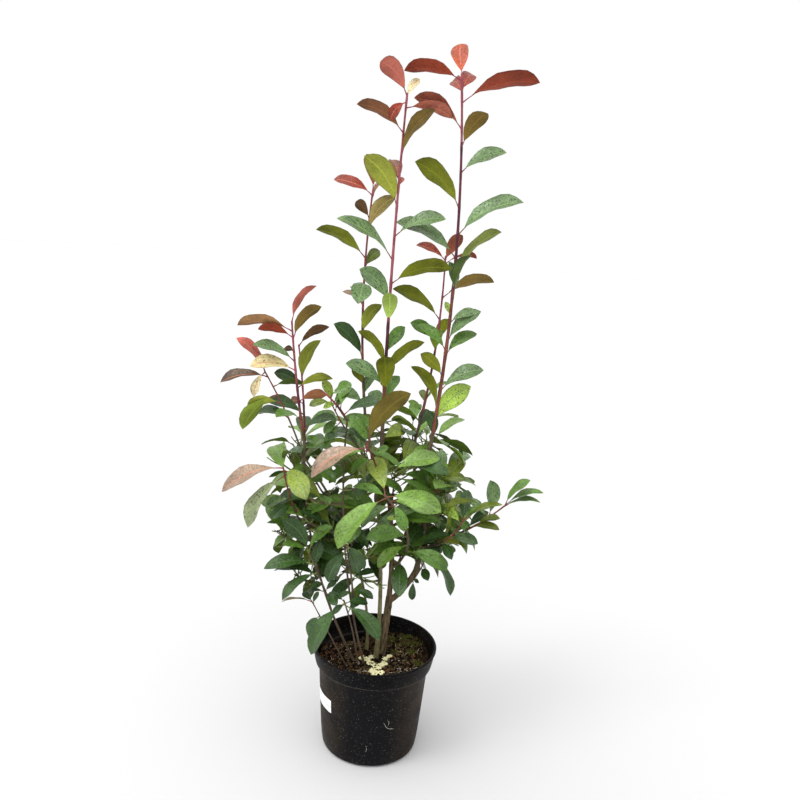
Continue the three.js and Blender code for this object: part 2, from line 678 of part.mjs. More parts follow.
function meshOf(solid, name, colour, roughness) {
  const { vertProperties, triVerts, numProp } = solid.getMesh();
  const geometry = new THREE.BufferGeometry();
  const corners = new Float32Array(vertProperties.length / numProp * 3);
  for (let i = 0; i < corners.length / 3; i += 1) {
    for (let k = 0; k < 3; k += 1) corners[3 * i + k] = vertProperties[numProp * i + k];
  }
  geometry.setAttribute('position', new THREE.BufferAttribute(corners, 3));
  geometry.setIndex(new THREE.BufferAttribute(new Uint32Array(triVerts), 1));
  geometry.computeVertexNormals();
  const material = new THREE.MeshStandardMaterial({ color: colour, roughness, metalness: 0 });
  const mesh = new THREE.Mesh(geometry, material);
  mesh.name = name;
  return mesh;
}

const plant = new THREE.Group();
plant.name = 'potted_shrub';
const pot = potSolid();
const soil = soilSolid();
plant.add(meshOf(pot, 'pot', 0x1c1c1e, 0.6));
plant.add(meshOf(soil, 'potting_soil', 0x3a2a20, 0.95));

const fixed = [boxed(pot, 'pot'), boxed(soil, 'ground')];
Object.keys(limbs).forEach((name) => {
  let body = limbBody(name);
  if (limbSeats[name]) body = largestPiece(body.subtract(limbBody(limbSeats[name], gap)));
  fixed.push(boxed(body, name));
  plant.add(meshOf(body, name, name === 'trunk' ? 0x6f5a48 : 0x6a4438, 0.8));
});

const reds = [
  'tall_right_leader', 'tall_middle_leader', 'left_middle_leader', 'back_leader', 'left_leader',
];
growMasses(fixed).forEach((mass, name) => {
  plant.add(meshOf(mass.body, name, reds.includes(name) ? 0x6f7a35 : 0x2f6a33, 0.4));
});

export default plant;
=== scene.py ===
from math import asin, atan2, cos, degrees, exp, hypot, pi, radians, sin
import bmesh
import bpy
import numpy as np
from mathutils import Matrix, Vector, noise


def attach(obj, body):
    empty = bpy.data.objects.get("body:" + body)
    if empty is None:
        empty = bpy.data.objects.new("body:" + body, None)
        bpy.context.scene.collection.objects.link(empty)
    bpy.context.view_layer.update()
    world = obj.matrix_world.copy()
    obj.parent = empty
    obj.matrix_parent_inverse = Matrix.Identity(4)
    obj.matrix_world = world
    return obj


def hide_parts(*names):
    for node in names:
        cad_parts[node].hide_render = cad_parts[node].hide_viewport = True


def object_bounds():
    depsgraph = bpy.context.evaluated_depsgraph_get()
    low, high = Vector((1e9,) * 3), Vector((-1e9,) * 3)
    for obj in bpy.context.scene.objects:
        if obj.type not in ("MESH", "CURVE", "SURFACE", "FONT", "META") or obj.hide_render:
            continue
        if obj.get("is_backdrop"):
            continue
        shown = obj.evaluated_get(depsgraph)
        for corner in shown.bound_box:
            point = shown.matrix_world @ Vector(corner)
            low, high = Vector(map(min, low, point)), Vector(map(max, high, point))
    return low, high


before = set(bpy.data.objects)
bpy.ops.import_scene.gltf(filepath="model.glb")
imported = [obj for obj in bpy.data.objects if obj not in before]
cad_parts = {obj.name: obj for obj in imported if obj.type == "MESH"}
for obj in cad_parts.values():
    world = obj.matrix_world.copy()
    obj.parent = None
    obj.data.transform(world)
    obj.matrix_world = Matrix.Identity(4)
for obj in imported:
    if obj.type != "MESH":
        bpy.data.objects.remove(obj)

# A young red-tipped evergreen shrub in its black nursery pot. The plant's rule works in
# millimetres, as its solids do, and each mesh is turned to metres when it is made.
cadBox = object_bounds()
mm = 0.001


def linear(hexColour):
    channels = [int(hexColour[i:i + 2], 16) / 255 for i in (1, 3, 5)]
    return (*[c / 12.92 if c <= 0.04045 else ((c + 0.055) / 1.055) ** 2.4 for c in channels], 1)


def shade(hexColour, factor):
    values = [min(255, round(int(hexColour[i:i + 2], 16) * factor)) for i in (1, 3, 5)]
    return "#%02x%02x%02x" % tuple(values)


def addNode(tree, kind, *inputs, **settings):
    # inputs fill the sockets in turn and settings go by name; each is a value, a hex colour,
    # or another node or output that feeds the socket
    node = tree.nodes.new("ShaderNode" + kind)
    for key, value in (*settings.items(), *enumerate(inputs)):
        if isinstance(value, bpy.types.Node):
            value = value.outputs[0]
        if isinstance(value, bpy.types.NodeSocket):
            tree.links.new(value, node.inputs[key])
        elif isinstance(key, str) and key not in node.inputs:
            setattr(node, key, value)
        elif value is not None:
            node.inputs[key].default_value = linear(value) if isinstance(value, str) else value
    return node


def blankFinish(name, roughness=0.5, gloss=0.5, ior=1.5):
    finish = bpy.data.materials.new(name)
    finish.use_nodes = True
    tree = finish.node_tree
    tree.nodes.clear()
    constants = {"Roughness": roughness, "Specular IOR Level": gloss, "IOR": ior}
    shader = addNode(tree, "BsdfPrincipled", **constants)
    addNode(tree, "OutputMaterial", shader)
    return finish, tree, shader, addNode(tree, "TexCoord").outputs["Object"]


def patchMask(tree, spot, size, low, high, detail=3):
    # patches of about this size in metres, from 0 at low to 1 at high
    cloud = addNode(tree, "TexNoise", spot, Scale=1 / size, Detail=detail)
    return addNode(tree, "MapRange", cloud, low, high)


def layOver(tree, mask, base, colour, strength=1):
    # a colour laid over the base where the mask is high; five number sockets come between
    if strength < 1:
        mask = addNode(tree, "Math", mask, strength, operation="MULTIPLY")
    return addNode(tree, "Mix", mask, *[None] * 5, base, colour, data_type="RGBA").outputs[2]


def feedShader(tree, shader, colour, *heights):
    # heights: what gives the height, and its depth in metres
    normal = None
    for height, depth in heights:
        normal = addNode(tree, "Bump", Strength=0.7, Distance=depth, Height=height, Normal=normal)
    tree.links.new(normal.outputs[0], shader.inputs["Normal"])
    tree.links.new(colour, shader.inputs["Base Color"])


def leafPlace(tree):
    # how far out from the midrib and how far along from the stalk, both 0 to 1
    place = addNode(tree, "SeparateXYZ", addNode(tree, "UVMap", uv_map="leafPlace"))
    across = addNode(tree, "Math", place, 2, -1, operation="MULTIPLY_ADD")
    return addNode(tree, "Math", across, operation="ABSOLUTE"), place.outputs[1]


def sideVeins(tree, out, along):
    # about nine pairs of side veins run from the midrib towards the tip, fading at the margin
    ahead = addNode(tree, "Math", along, 56, operation="MULTIPLY")
    phase = addNode(tree, "Math", out, -16, ahead, operation="MULTIPLY_ADD")
    wave = addNode(tree, "Math", phase, operation="SINE")
    wave = addNode(tree, "Math", wave, 0.5, 0.5, operation="MULTIPLY_ADD")
    ridge = addNode(tree, "Math", wave, 5, operation="POWER")
    inward = addNode(tree, "Math", 1, out, operation="SUBTRACT")
    return addNode(tree, "Math", ridge, inward, operation="MULTIPLY")


def bladeColour(tree, spot, colour, out, along):
    # paler by the stalk, darker in broad patches and along the margin
    broad = patchMask(tree, spot, 0.026, 0.36, 0.64)
    base = layOver(tree, broad, shade(colour, 0.85), shade(colour, 1.12))
    foot = addNode(tree, "Math", along, -0.5, 0.4, operation="MULTIPLY_ADD")
    foot = addNode(tree, "Math", foot, 0, operation="MAXIMUM")
    base = layOver(tree, foot, base, shade(colour, 1.4))
    margin = addNode(tree, "MapRange", out, 0.86, 0.97)
    return layOver(tree, margin, base, shade(colour, 0.6), 0.45)


def upperFinish(name, colour, speckled):
    # upper side of a living leaf: a waxy skin over mottled green, with dark specks of dust
    # and dried spray, thicker on the speckled tones
    finish, tree, shader, spot = blankFinish(name, gloss=0.4, ior=1.45)
    out, along = leafPlace(tree)
    veins = sideVeins(tree, out, along)
    mottle = patchMask(tree, spot, 0.0045, 0.38, 0.64)
    least = 0.6 if speckled else 0.63
    specks = patchMask(tree, spot, 0.0026, least, least + 0.05, 1)
    base = bladeColour(tree, spot, colour, out, along)
    base = layOver(tree, veins, base, shade(colour, 1.35), 0.35)
    base = layOver(tree, mottle, base, shade(colour, 0.68), 0.45)
    base = layOver(tree, specks, base, shade(colour, 0.3), 0.8)
    dull = addNode(tree, "Math", mottle, 0.3, 0.2, operation="MULTIPLY_ADD")
    tree.links.new(dull.outputs[0], shader.inputs["Roughness"])
    grooves = addNode(tree, "Math", 1, veins, operation="SUBTRACT")
    feedShader(tree, shader, base, (grooves, 0.0004), (mottle, 0.00025))
    return finish


def underFinish(name, colour):
    # underside: the same leaf without its wax, quite dull, its pale midrib and veins standing out
    finish, tree, shader, spot = blankFinish(name, 0.6, 0.2, 1.4)
    out, along = leafPlace(tree)
    veins = sideVeins(tree, out, along)
    midrib = addNode(tree, "MapRange", out, 0.1, 0.05)
    mottle = patchMask(tree, spot, 0.003, 0.4, 0.7)
    base = bladeColour(tree, spot, colour, out, along)
    base = layOver(tree, veins, base, shade(colour, 1.2), 0.3)
    base = layOver(tree, mottle, base, shade(colour, 0.72), 0.35)
    base = layOver(tree, midrib, base, shade(colour, 1.3), 0.5)
    feedShader(tree, shader, base, (veins, 0.0005))
    return finish


def rindFinish(name, colour, lighter, roughness):
    # thin rind of a young shoot: smooth, with small pale pores drawn a little coarse
    finish, tree, shader, spot = blankFinish(name, roughness, 0.3)
    broad = patchMask(tree, spot, 0.02, 0.35, 0.65)
    pores = patchMask(tree, spot, 0.0022, 0.6, 0.68, 1)
    base = layOver(tree, broad, colour, lighter)
    base = layOver(tree, pores, base, shade(lighter, 1.35), 0.5)
    feedShader(tree, shader, base, (pores, 0.0003))
    return finish


def barkFinish():
    # young bark: grey-brown cork with lengthwise cracks about 3 mm apart and red-brown patches
    finish, tree, shader, spot = blankFinish("greyBrownBark", 0.85, 0.15)
    stretched = addNode(tree, "Mapping", spot, Scale=(1, 1, 0.22))
    cracks = patchMask(tree, stretched, 0.003, 0.3, 0.62, 4)
    patches = patchMask(tree, spot, 0.016, 0.5, 0.66)
    base = layOver(tree, cracks, "#2b2317", "#73644b")
    base = layOver(tree, patches, base, "#5e4632", 0.45)
    feedShader(tree, shader, base, (cracks, 0.0008))
    return finish


def clumpedFinish(name, dark, light, size, roughness=0.95):
    # peat, moss, fibre, grains or paper: dull, darker and lighter in clumps of this size
    finish, tree, shader, spot = blankFinish(name, roughness, 0.04)
    clumps = patchMask(tree, spot, size, 0.35, 0.65, 5)
    feedShader(tree, shader, layOver(tree, clumps, dark, light), (clumps, size * 0.3))
    return finish


# tone: upper side, underside
leafTones = {
    "orange": ("#9c3a08", "#98421c"), "brick": ("#86301a", "#883c28"),
    "pink": ("#a65042", "#aa6250"), "rose": ("#a85a4c", "#ad6254"),
    "bronzeRed": ("#8a4530", "#935440"), "bronze": ("#70482c", "#7e5236"),
    "darkBronze": ("#46331a", "#62462e"), "oliveBronze": ("#5e501c", "#735e2c"),
    "cream": ("#cdbb8e", "#c6b688"), "peach": ("#8e7864", "#8a7662"),
    "tan": ("#96824a", "#a39258"), "tanBronze": ("#8e5f42", "#9a744e"),
    "khaki": ("#c0ae7c", "#9a9250"),
    "darkOlive": ("#554a1a", "#665a24"), "olive": ("#58661a", "#6a701c"),
    "yellowGreen": ("#6f7f2a", "#868c36"), "paleOlive": ("#7b8560", "#868e5c"),
    "lime": ("#8eaa42", "#9ab256"), "bright": ("#668636", "#84983e"),
    "green": ("#4f7028", "#788a34"), "greyGreen": ("#5c7648", "#738038"),
    "deepGreen": ("#344f22", "#586c2a"), "dark": ("#29431a", "#485a26"),
}
toneNames = list(leafTones)
redTones = toneNames[:toneNames.index("khaki") + 1]  # these have a red midrib and stalk
darkTones = ("green", "deepGreen", "dark")
speckledTones = ("greyGreen", "deepGreen", "lime", "paleOlive")
leafFinishes = []
for tone, colours in leafTones.items():
    leafFinishes.append(upperFinish(tone + "LeafUpper", colours[0], tone in speckledTones))
for tone, colours in leafTones.items():
    leafFinishes.append(underFinish(tone + "LeafUnder", colours[1]))
redRib, greenRib, darkRib = range(len(leafFinishes), len(leafFinishes) + 3)
leafFinishes += [
    rindFinish("redMidrib", "#a8604a", "#b87258", 0.5),
    rindFinish("greenMidrib", "#66824a", "#769056", 0.5),
    rindFinish("darkMidrib", "#3e5a30", "#4c683a", 0.5),
]
crimson, redBrown, maroon, brown, greenish, greyish, bark = range(7)
stemFinishes = [
    rindFinish("crimsonRind", "#702a38", "#8e4650", 0.42),
    rindFinish("redBrownRind", "#54291f", "#764234", 0.5),
    rindFinish("maroonRind", "#3e1522", "#5c2433", 0.45),
    rindFinish("brownRind", "#3f3427", "#5c4e3d", 0.7),
    rindFinish("greenRind", "#56642e", "#6f7e44", 0.5),
    rindFinish("greyGreenRind", "#5a5638", "#76704e", 0.7),
    barkFinish(),
]
print("finishes made:", len(bpy.data.materials))


class BowedLine:
    # from foot to tip, its middle pushed out by sag
    def __init__(self, foot, tip, sag):
        self.foot, self.push = Vector(foot), Vector(sag)
        self.chord = Vector(tip) - self.foot
        self.span = self.chord.length
        self.guide = Vector((1, 0, 0)) if abs(self.chord.z) > 0.6 * self.span else Vector((0, 0, 1))

    def at(self, t):
        return self.foot + self.chord * t + self.push * (4 * t * (1 - t))

    def along(self, t):
        return (self.chord + self.push * (4 - 8 * t)).normalized()

    def reach(self, height):
        low, high = 0.0, 1.0
        for _ in range(30):
            middle = (low + high) / 2
            if self.at(middle).z < height:
                low = middle
            else:
                high = middle
        return low


def seededNumbers(seed):
    # the same repeatable stream that the solids are grown from
    state = (seed * 2654435761) % 4294967296
    while True:
        state = (state * 1664525 + 1013904223) % 4294967296
        yield state / 4294967296


plant = {
    "groundLevel": 152,
    "lowLeaf": 76,
    "spiralTurn": 144,     # degrees from one leaf round the twig to the next
    "leafCurl": 52,        # how far a blade arches over from its stalk to its tip
    "leafDroop": 24,
    "leafSpread": 52, "tipSpread": 18,  # how far leaves stand off their twig, and at its tip
}
crown = {
    "middle": -18, "radius": 166, "lowest": 187,
    "heights": (240, 380, 520, 650), "shares": (0.6, 1, 1, 0.45),  # of its radius
    # in front of these depths is the place of the side shoots that the photograph shows
    "frontHeights": (240, 330, 430, 520), "frontDepths": (24, 40, 58, 80),
}
underGround = plant["groundLevel"] - 8
# foot, tip, sag, radius at foot and tip, flare, finish
limbs = {
    "trunk": ((11, 11, underGround), (19, 0, 256), (0, 0, 0), (6.6, 5.8), 3.4, bark),
    "middle_bough": ((19, -5, 283), (-9, -10, 492), (8, 0, 1), (4.1, 2.5), 0, bark),
    "right_bough": ((58, 8, 301), (59, 10, 457), (8, 0, 1), (4.4, 2.8), 0, brown),
    "back_bough": ((62, 9, 323), (43, 50, 507), (-4, 8, 0), (3, 2.2), 0, brown),
    "centre_stem": ((3, -7, underGround), (-38, 16, 550), (16, -14, 1), (3.6, 2), 1, greyish),
    "front_stem": ((-13, -24, underGround), (-60, -50, 556), (-17, -4, -2), (1.6, 1.4), 0.8, brown),
    "left_stem": ((-28, -18, underGround), (-121, -42, 508), (-24, 2, -3), (1.8, 1.6), 0.8, brown),
    "thin_back_stem": ((-12, 13, underGround), (-127, -10, 483), (30, 14, 2), (2.2, 1.7), 1, greyish),
}
trunkArms = (
    ((18, 1, 247), (19, -5, 285), (0, 0, 0), (4.8, 4.1), 0, bark),
    ((17, 1, 247), (58, 8, 301), (2, 0, -5), (5, 4.4), 0, bark),
)
limbLines = {name: BowedLine(*row[:3]) for name, row in limbs.items()}

# Rows: height above the ground, compass turn, length, slope to the tip, how far the blade is
# rolled about its own length, the leaf's tone and, where it isn't as usual, its curl.
# Most of these numbers, and most of the limbs' above, weren't chosen by hand: other small
# programs worked them out, from ends and widths read off the photograph by eye, and wrote them.
leaders = {
    "tall_right_leader": {
        "on": "right_bough", "to": [70, 10, 1047], "sag": [17, 0, 1], "radii": [3.1, 1.5],
        "leaves": [
            (1044, 94, 72, 46, -11, "orange", 10), (1023, 71, 55, 35, 33, "brick"),
            (1038, -176, 82, 5, 30, "brick"), (1009, -3, 111, 17, -20, "brick"),
            (973, 175, 81, 29, 34, "bronzeRed"), (949, -52, 66, 41, -28, "oliveBronze"),
            (914, 2, 71, 27, 48, "greyGreen"), (863, 166, 95, 42, 49, "olive"),
            (826, -5, 105, 30, 34, "greyGreen"), (793, -179, 102, 27, -30, "greyGreen"),
            (769, 16, 95, 44, -38, "greyGreen"), (747, -63, 69, 52, 15, "dark"),
            (740, 167, 49, 79, -38, "greyGreen"), (668, 0, 69, 47, 36, "greyGreen"),
            (649, 21, 60, 34, 32, "green"), (655, 171, 59, 37, -41, "green"),
            (615, -171, 50, 44, 90, "olive"), (594, 0, 73, 30, 34, "greyGreen"),
            (561, -180, 81, 57, 37, "olive"), (544, 0, 79, 50, 79, "lime"), (517, 180, 47, 79, -87, "dark"),
            (1020, 108, 50, 27, -49, "brick"), (698, 6, 45, 23, 46, "greyGreen"),
            (707, 153, 24, 64, -65, "lime"),
        ]},
    "tall_middle_leader": {
        "on": "middle_bough", "to": [-4, 0, 1015], "sag": [-4, 0, -1], "radii": [2.9, 1.4],
        "leaves": [
            (1012, -126, 72, 28, 51, "rose"), (1009, 33, 34, 55, 42, "cream"),
            (1004, -140, 39, -47, -65, "brick"), (996, 7, 67, -8, -36, "pink"),
            (962, 180, 76, 27, 32, "bronze"), (928, 0, 81, 57, -30, "oliveBronze"),
            (892, 109, 54, 41, -11, "bronze"), (859, 201, 86, 52, 70, "yellowGreen"),
            (819, 0, 78, 22, 39, "greyGreen"), (785, -180, 100, 33, -25, "greyGreen"),
            (751, 0, 91, 17, -41, "olive"), (722, 174, 67, 45, -80, "greyGreen"),
            (690, -91, 58, 62, 0, "lime"), (646, 24, 51, 57, 65, "green"), (625, -180, 70, 51, 43, "olive"),
            (612, 0, 80, 46, -35, "olive"), (596, -178, 69, 30, -51, "greyGreen"),
            (583, -94, 76, 62, 7, "olive"), (570, 44, 52, 55, 24, "green"),
            (545, 113, 64, 34, -13, "green"), (525, 195, 66, 20, -33, "green"),
            (515, 53, 58, 6, 60, "yellowGreen"), (888, 62, 20, 44, 40, "rose"),
        ]},
    "left_middle_leader": {
        "on": "centre_stem", "to": [-45, 22, 884], "sag": [-9, 0, -1], "radii": [2.2, 1.2],
        "leaves": [
            (882, -119, 54, 65, 29, "bronzeRed"), (875, -180, 60, 18, -47, "brick"),
            (869, 53, 54, 42, -24, "bronze"), (841, -122, 43, 33, 52, "darkBronze"),
            (821, 0, 66, 55, -48, "tan"), (784, 178, 84, 26, 45, "olive"), (770, 57, 44, 35, 49, "olive"),
            (748, -92, 77, -18, -13, "greyGreen"), (714, 122, 48, 28, 21, "green"),
            (715, 176, 37, 29, -28, "peach"), (670, -26, 58, 59, -40, "yellowGreen"),
            (634, -166, 70, 48, -53, "dark"), (590, -146, 41, 57, 69, "olive"),
            (575, 21, 44, 67, 52, "greyGreen"), (564, 180, 51, 21, -51, "greyGreen"),
        ]},
    "back_leader": {
        "on": "back_bough", "to": [69, 60, 793], "sag": [8, 0, 1], "radii": [2.3, 1.2],
        "leaves": [
            (787, 180, 50, 23, -40, "brick"), (784, -41, 52, 55, -58, "bronzeRed"),
            (782, 31, 59, 9, -26, "brick"), (730, 10, 85, 19, -39, "oliveBronze"),
            (696, 175, 87, 29, 40, "olive"), (661, 180, 51, 33, -84, "green"),
            (657, 0, 45, 68, -95, "olive"), (643, -84, 54, 52, 4, "green"),
            (563, 105, 30, 35, -21, "olive"), (565, 0, 50, 45, 13, "bright"),
            (549, 180, 29, 35, -63, "bright"), (519, 61, 44, 40, 31, "dark"),
        ]},
    "left_leader": {
        "on": "left_stem", "to": [-146, -50, 693], "sag": [-2, 0, 0], "radii": [2.2, 1.2],
        "leaves": [
            (692, 0, 63, 58, -28, "rose"), (679, 180, 79, 2, 38, "tanBronze"),
            (670, 180, 51, 9, 49, "brick"), (667, 0, 63, 52, -48, "oliveBronze"),
            (649, -123, 23, 17, -95, "darkBronze"), (635, -180, 65, 18, -24, "greyGreen"),
            (622, -180, 66, 1, -44, "khaki"), (596, 0, 54, 18, -47, "yellowGreen"),
            (576, 8, 42, 15, -85, "bronze"), (548, 240, 60, 14, -17, "green"),
            (532, -10, 56, 24, 33, "dark"),
        ]},
    "left_back_leader": {
        "on": "thin_back_stem", "to": [-140, -10, 653], "sag": [3, 0, 0], "radii": [2, 1.1],
        "leaves": [
            (652, 0, 54, 35, -42, "darkBronze"), (595, 0, 72, 70, -45, "yellowGreen"),
            (592, 175, 47, 20, -74, "dark"), (564, 135, 34, -6, -76, "bronze"),
            (547, 185, 62, 18, -34, "dark"), (527, -21, 58, 28, 32, "green"),
            (507, 102, 62, 23, -7, "dark"),
        ]},
    "front_leader": {
        "on": "front_stem", "to": [-95, -62, 596], "sag": [2, 0, 2], "radii": [1.8, 1.1],
        "leaves": [
            (588, -60, 52, 18, 17, "green"), (578, -132, 25, -6, -67, "lime"),
            (570, 84, 54, 41, 4, "green"), (562, -20, 60, 26, 32, "dark"),
        ]},
}
sideShoots = {
    "left_outer_shoot": {
        "on": "left_stem", "height": 482, "to": [-186, -32, 616], "sag": [8, 0, -6], "radii": [1.6, 0.9],
        "leaves": [
            (615, -180, 63, 47, -24, "pink"), (614, -165, 41, -68, -46, "cream"),
            (607, -180, 71, -11, -25, "darkBronze"), (593, 10, 44, 6, -49, "dark"),
            (581, 184, 74, -48, 50, "green"), (569, -178, 51, -9, 58, "yellowGreen"),
            (548, 150, 58, -3, -29, "dark"),
        ]},
    "left_side_shoot": {
        "on": "left_stem", "height": 350, "to": [-150, -56, 478], "sag": [-6, -6, 2], "radii": [2, 1.1],
        "leaves": [
            (477, -176, 98, -25, -20, "peach"), (474, -56, 78, -16, 38, "yellowGreen"),
            (465, -164, 95, -57, -19, "paleOlive"), (467, 112, 79, 16, -23, "bright"),
            (428, 171, 41, -26, -51, "greyGreen"), (418, -127, 45, -14, -53, "dark"),
            (465, 50, 49, -6, 71, "bright"), (410, -18, 47, -17, 13, "dark"),
            (388, -14, 66, 41, 46, "green"),
        ]},
    "upper_front_shoot": {
        "on": "centre_stem", "height": 470, "to": [-86, -40, 577], "sag": [-6, -6, 4], "radii": [1.5, 0.9],
        "leaves": [
            (577, -169, 32, -11, -50, "olive"), (577, -172, 36, 66, -87, "yellowGreen"),
            (571, -8, 40, 47, 50, "green"), (551, -135, 34, -34, -52, "green"),
            (547, -133, 46, -57, -10, "green"), (563, -18, 25, 59, 65, "green"),
        ]},
    "front_shoot": {
        "on": "middle_bough", "height": 308, "to": [2, -92, 458], "sag": [30, -4, -4], "radii": [2.3, 1.3],
        "leaves": [
            (457, 113, 75, 29, -27, "yellowGreen"), (455, -13, 82, -8, 68, "bright"),
            (454, -161, 101, -47, -24, "bright"), (452, 171, 54, 12, -16, "green"),
            (448, 11, 57, -20, 38, "bright"), (445, -29, 45, -58, 55, "green"),
            (440, 163, 64, -42, -45, "greyGreen"), (425, 156, 41, -44, -72, "greyGreen"),
            (414, -165, 24, 6, -33, "lime"), (380, -148, 73, 7, -68, "green"),
            (365, -147, 58, -29, -21, "bright"), (357, 63, 58, 15, 34, "dark"),
            (350, -12, 69, -18, 44, "green"), (328, -88, 69, -27, 4, "greyGreen"),
        ]},
    "bronze_shoot": {
        "on": "centre_stem", "height": 441, "to": [-28, -84, 527], "sag": [8, -4, -2], "radii": [2, 1.2],
        "leaves": [
            (527, -4, 100, 55, -51, "darkOlive"), (524, -168, 91, -30, -23, "peach"),
            (527, 164, 50, 54, -35, "green"), (524, 157, 42, 29, -18, "dark"),
            (518, 167, 80, -29, -39, "bright"), (506, 24, 28, 30, 64, "green"),
            (503, 159, 44, -41, -52, "green"),
        ]},
    "right_upper_shoot": {
        "on": "right_bough", "height": 405, "to": [84, -18, 472], "sag": [2, -6, -2], "radii": [1.7, 1],
        "leaves": [
            (469, 109, 41, 81, -21, "greyGreen"), (460, -11, 41, 10, 73, "olive"),
            (453, -33, 40, 68, 79, "bright"), (445, -168, 71, 49, -53, "green"),
            (441, 13, 37, 14, 52, "greyGreen"), (428, 39, 72, 80, -22, "yellowGreen"),
            (449, -173, 64, 57, -37, "green"),
        ]},
    "right_side_shoot": {
        "on": "right_bough", "height": 348, "to": [188, -8, 426], "sag": [0, -10, -8], "radii": [2, 1.1],
        "leaves": [
            (425, 0, 56, 51, 15, "green"), (425, -4, 62, 24, 2, "green"), (422, -8, 58, 14, 4, "green"),
            (405, -131, 62, 85, -124, "greyGreen"), (392, -13, 38, 23, 39, "olive"),
            (386, -18, 45, 6, 24, "olive"), (403, 162, 41, 39, -33, "greyGreen"),
            (383, 24, 43, 36, 33, "dark"),
        ]},
    "right_front_shoot": {
        "on": "right_bough", "height": 342, "to": [123, -34, 407], "sag": [4, -12, -8], "radii": [1.7, 1],
        "leaves": [
            (406, 2, 64, 26, -1, "olive"), (403, 75, 51, 57, 9, "dark"), (399, 138, 45, 23, -54, "lime"),
            (366, -117, 63, 86, -98, "yellowGreen"), (373, -18, 46, 0, 67, "greyGreen"),
            (388, 46, 32, 6, 53, "green"), (362, -70, 44, -12, 35, "dark"), (407, 21, 39, 29, 22, "green"),
            (344, 36, 41, -26, 83, "dark"),
        ]},
    "low_right_shoot": {
        "on": "trunk", "height": 262, "to": [70, -14, 329], "sag": [6, -6, -4], "radii": [1.5, 0.9],
        "leaves": [
            (315, -72, 36, -7, 31, "dark"), (294, -60, 18, 9, 58, "dark"), (294, -89, 31, -72, 3, "dark"),
            (327, 32, 34, 30, 51, "dark"), (325, 163, 38, 27, -62, "green"), (329, 20, 43, -18, 52, "dark"),
        ]},
    "left_low_shoot": {
        "on": "left_stem", "height": 240, "to": [-108, -56, 349], "sag": [4, -6, 0], "radii": [2, 1.1],
        "leaves": [
            (348, -174, 64, 50, -74, "dark"), (348, -165, 42, 19, -20, "bright"),
            (347, -10, 57, 52, 37, "green"), (327, -174, 76, -7, -24, "green"),
            (306, 172, 72, -1, -8, "dark"), (321, 56, 43, 77, 36, "dark"),
            (313, -154, 67, -35, -9, "greyGreen"), (288, -126, 29, 19, -72, "dark"),
            (273, -60, 41, -2, 39, "green"), (277, 40, 25, 33, 48, "green"),
            (277, 158, 40, -25, -19, "dark"),
        ]},
    "middle_low_shoot": {
        "on": "front_stem", "height": 232, "to": [-51, -58, 364], "sag": [3, -3, 0], "radii": [1.8, 1.1],
        "leaves": [
            (355, -130, 55, -47, -40, "dark"), (359, -51, 43, -43, 34, "dark"),
            (363, -35, 45, -37, 48, "greyGreen"), (305, -16, 41, 26, 21, "dark"),
            (286, -23, 36, -10, 31, "dark"), (281, -153, 23, -11, -59, "green"),
            (336, 40, 32, 15, 54, "green"), (359, 39, 38, 48, 49, "green"),
        ]},
    "low_hanging_shoot": {
        "on": "ground", "from": [-23, -34, underGround], "to": [-50, -62, 276], "sag": [3, 4, 0],
        "radii": [1.5, 1],
        "leaves": [
            (271, -154, 93, -57, -13, "greyGreen"), (266, -25, 73, -34, 22, "greyGreen"),
            (268, -136, 25, -22, -47, "dark"), (270, 19, 37, -7, 34, "dark"),
            (273, 163, 28, 14, -59, "dark"), (252, 35, 29, 32, 50, "dark"),
        ]},
    "low_left_shoot": {
        "on": "ground", "from": [-37, -40, underGround], "to": [-99, -56, 268], "sag": [-2, 0, 4],
        "radii": [1.2, 0.8],
        "leaves": [
            (267, -175, 47, -3, 17, "oliveBronze"), (266, 142, 24, 16, -47, "dark"),
            (263, 43, 20, 62, 46, "dark"), (242, 131, 55, -64, -95, "green"),
        ]},
}
# on, height, turn, slope, length
sprays = {
    "low_left_spray": ("left_stem", 283, 190, 20, 46),
    "low_front_spray": ("centre_stem", 290, 230, 18, 50),
    "low_right_front_spray": ("middle_bough", 330, -20, 20, 44),
    "low_right_spray": ("right_bough", 330, 0, 26, 40),
    "low_back_right_spray": ("back_bough", 352, 60, 24, 66),
    "low_back_spray": ("thin_back_stem", 290, 96, 24, 92),
    "low_back_left_spray": ("thin_back_stem", 329, 146, 18, 88),
    "left_spray": ("left_stem", 344, 178, 22, 60),
    "front_left_spray": ("front_stem", 376, 185, 16, 56),
    "front_spray": ("front_stem", 330, 330, 24, 50),
    "middle_front_spray": ("centre_stem", 384, 290, 30, 50),
    "right_front_spray": ("right_bough", 392, -50, 30, 44),
    "right_spray": ("right_bough", 424, 10, 20, 44),
    "back_right_spray": ("back_bough", 416, 38, 24, 66),
    "back_spray": ("middle_bough", 399, 88, 26, 104),
    "back_left_spray": ("thin_back_stem", 397, 128, 26, 90),
    "high_left_spray": ("left_stem", 448, 128, 34, 66),
    "high_front_left_spray": ("front_stem", 424, 205, 14, 56),
    "high_front_spray": ("front_stem", 446, 330, 24, 50),
    "high_right_front_spray": ("middle_bough", 452, -60, 34, 44),
    "high_right_spray": ("back_bough", 473, 60, 34, 44),
    "high_back_spray": ("back_bough", 455, 96, 38, 84),
    "high_back_left_spray": ("thin_back_stem", 441, 152, 42, 74),
    "high_middle_spray": ("middle_bough", 438, 176, 52, 76),
}
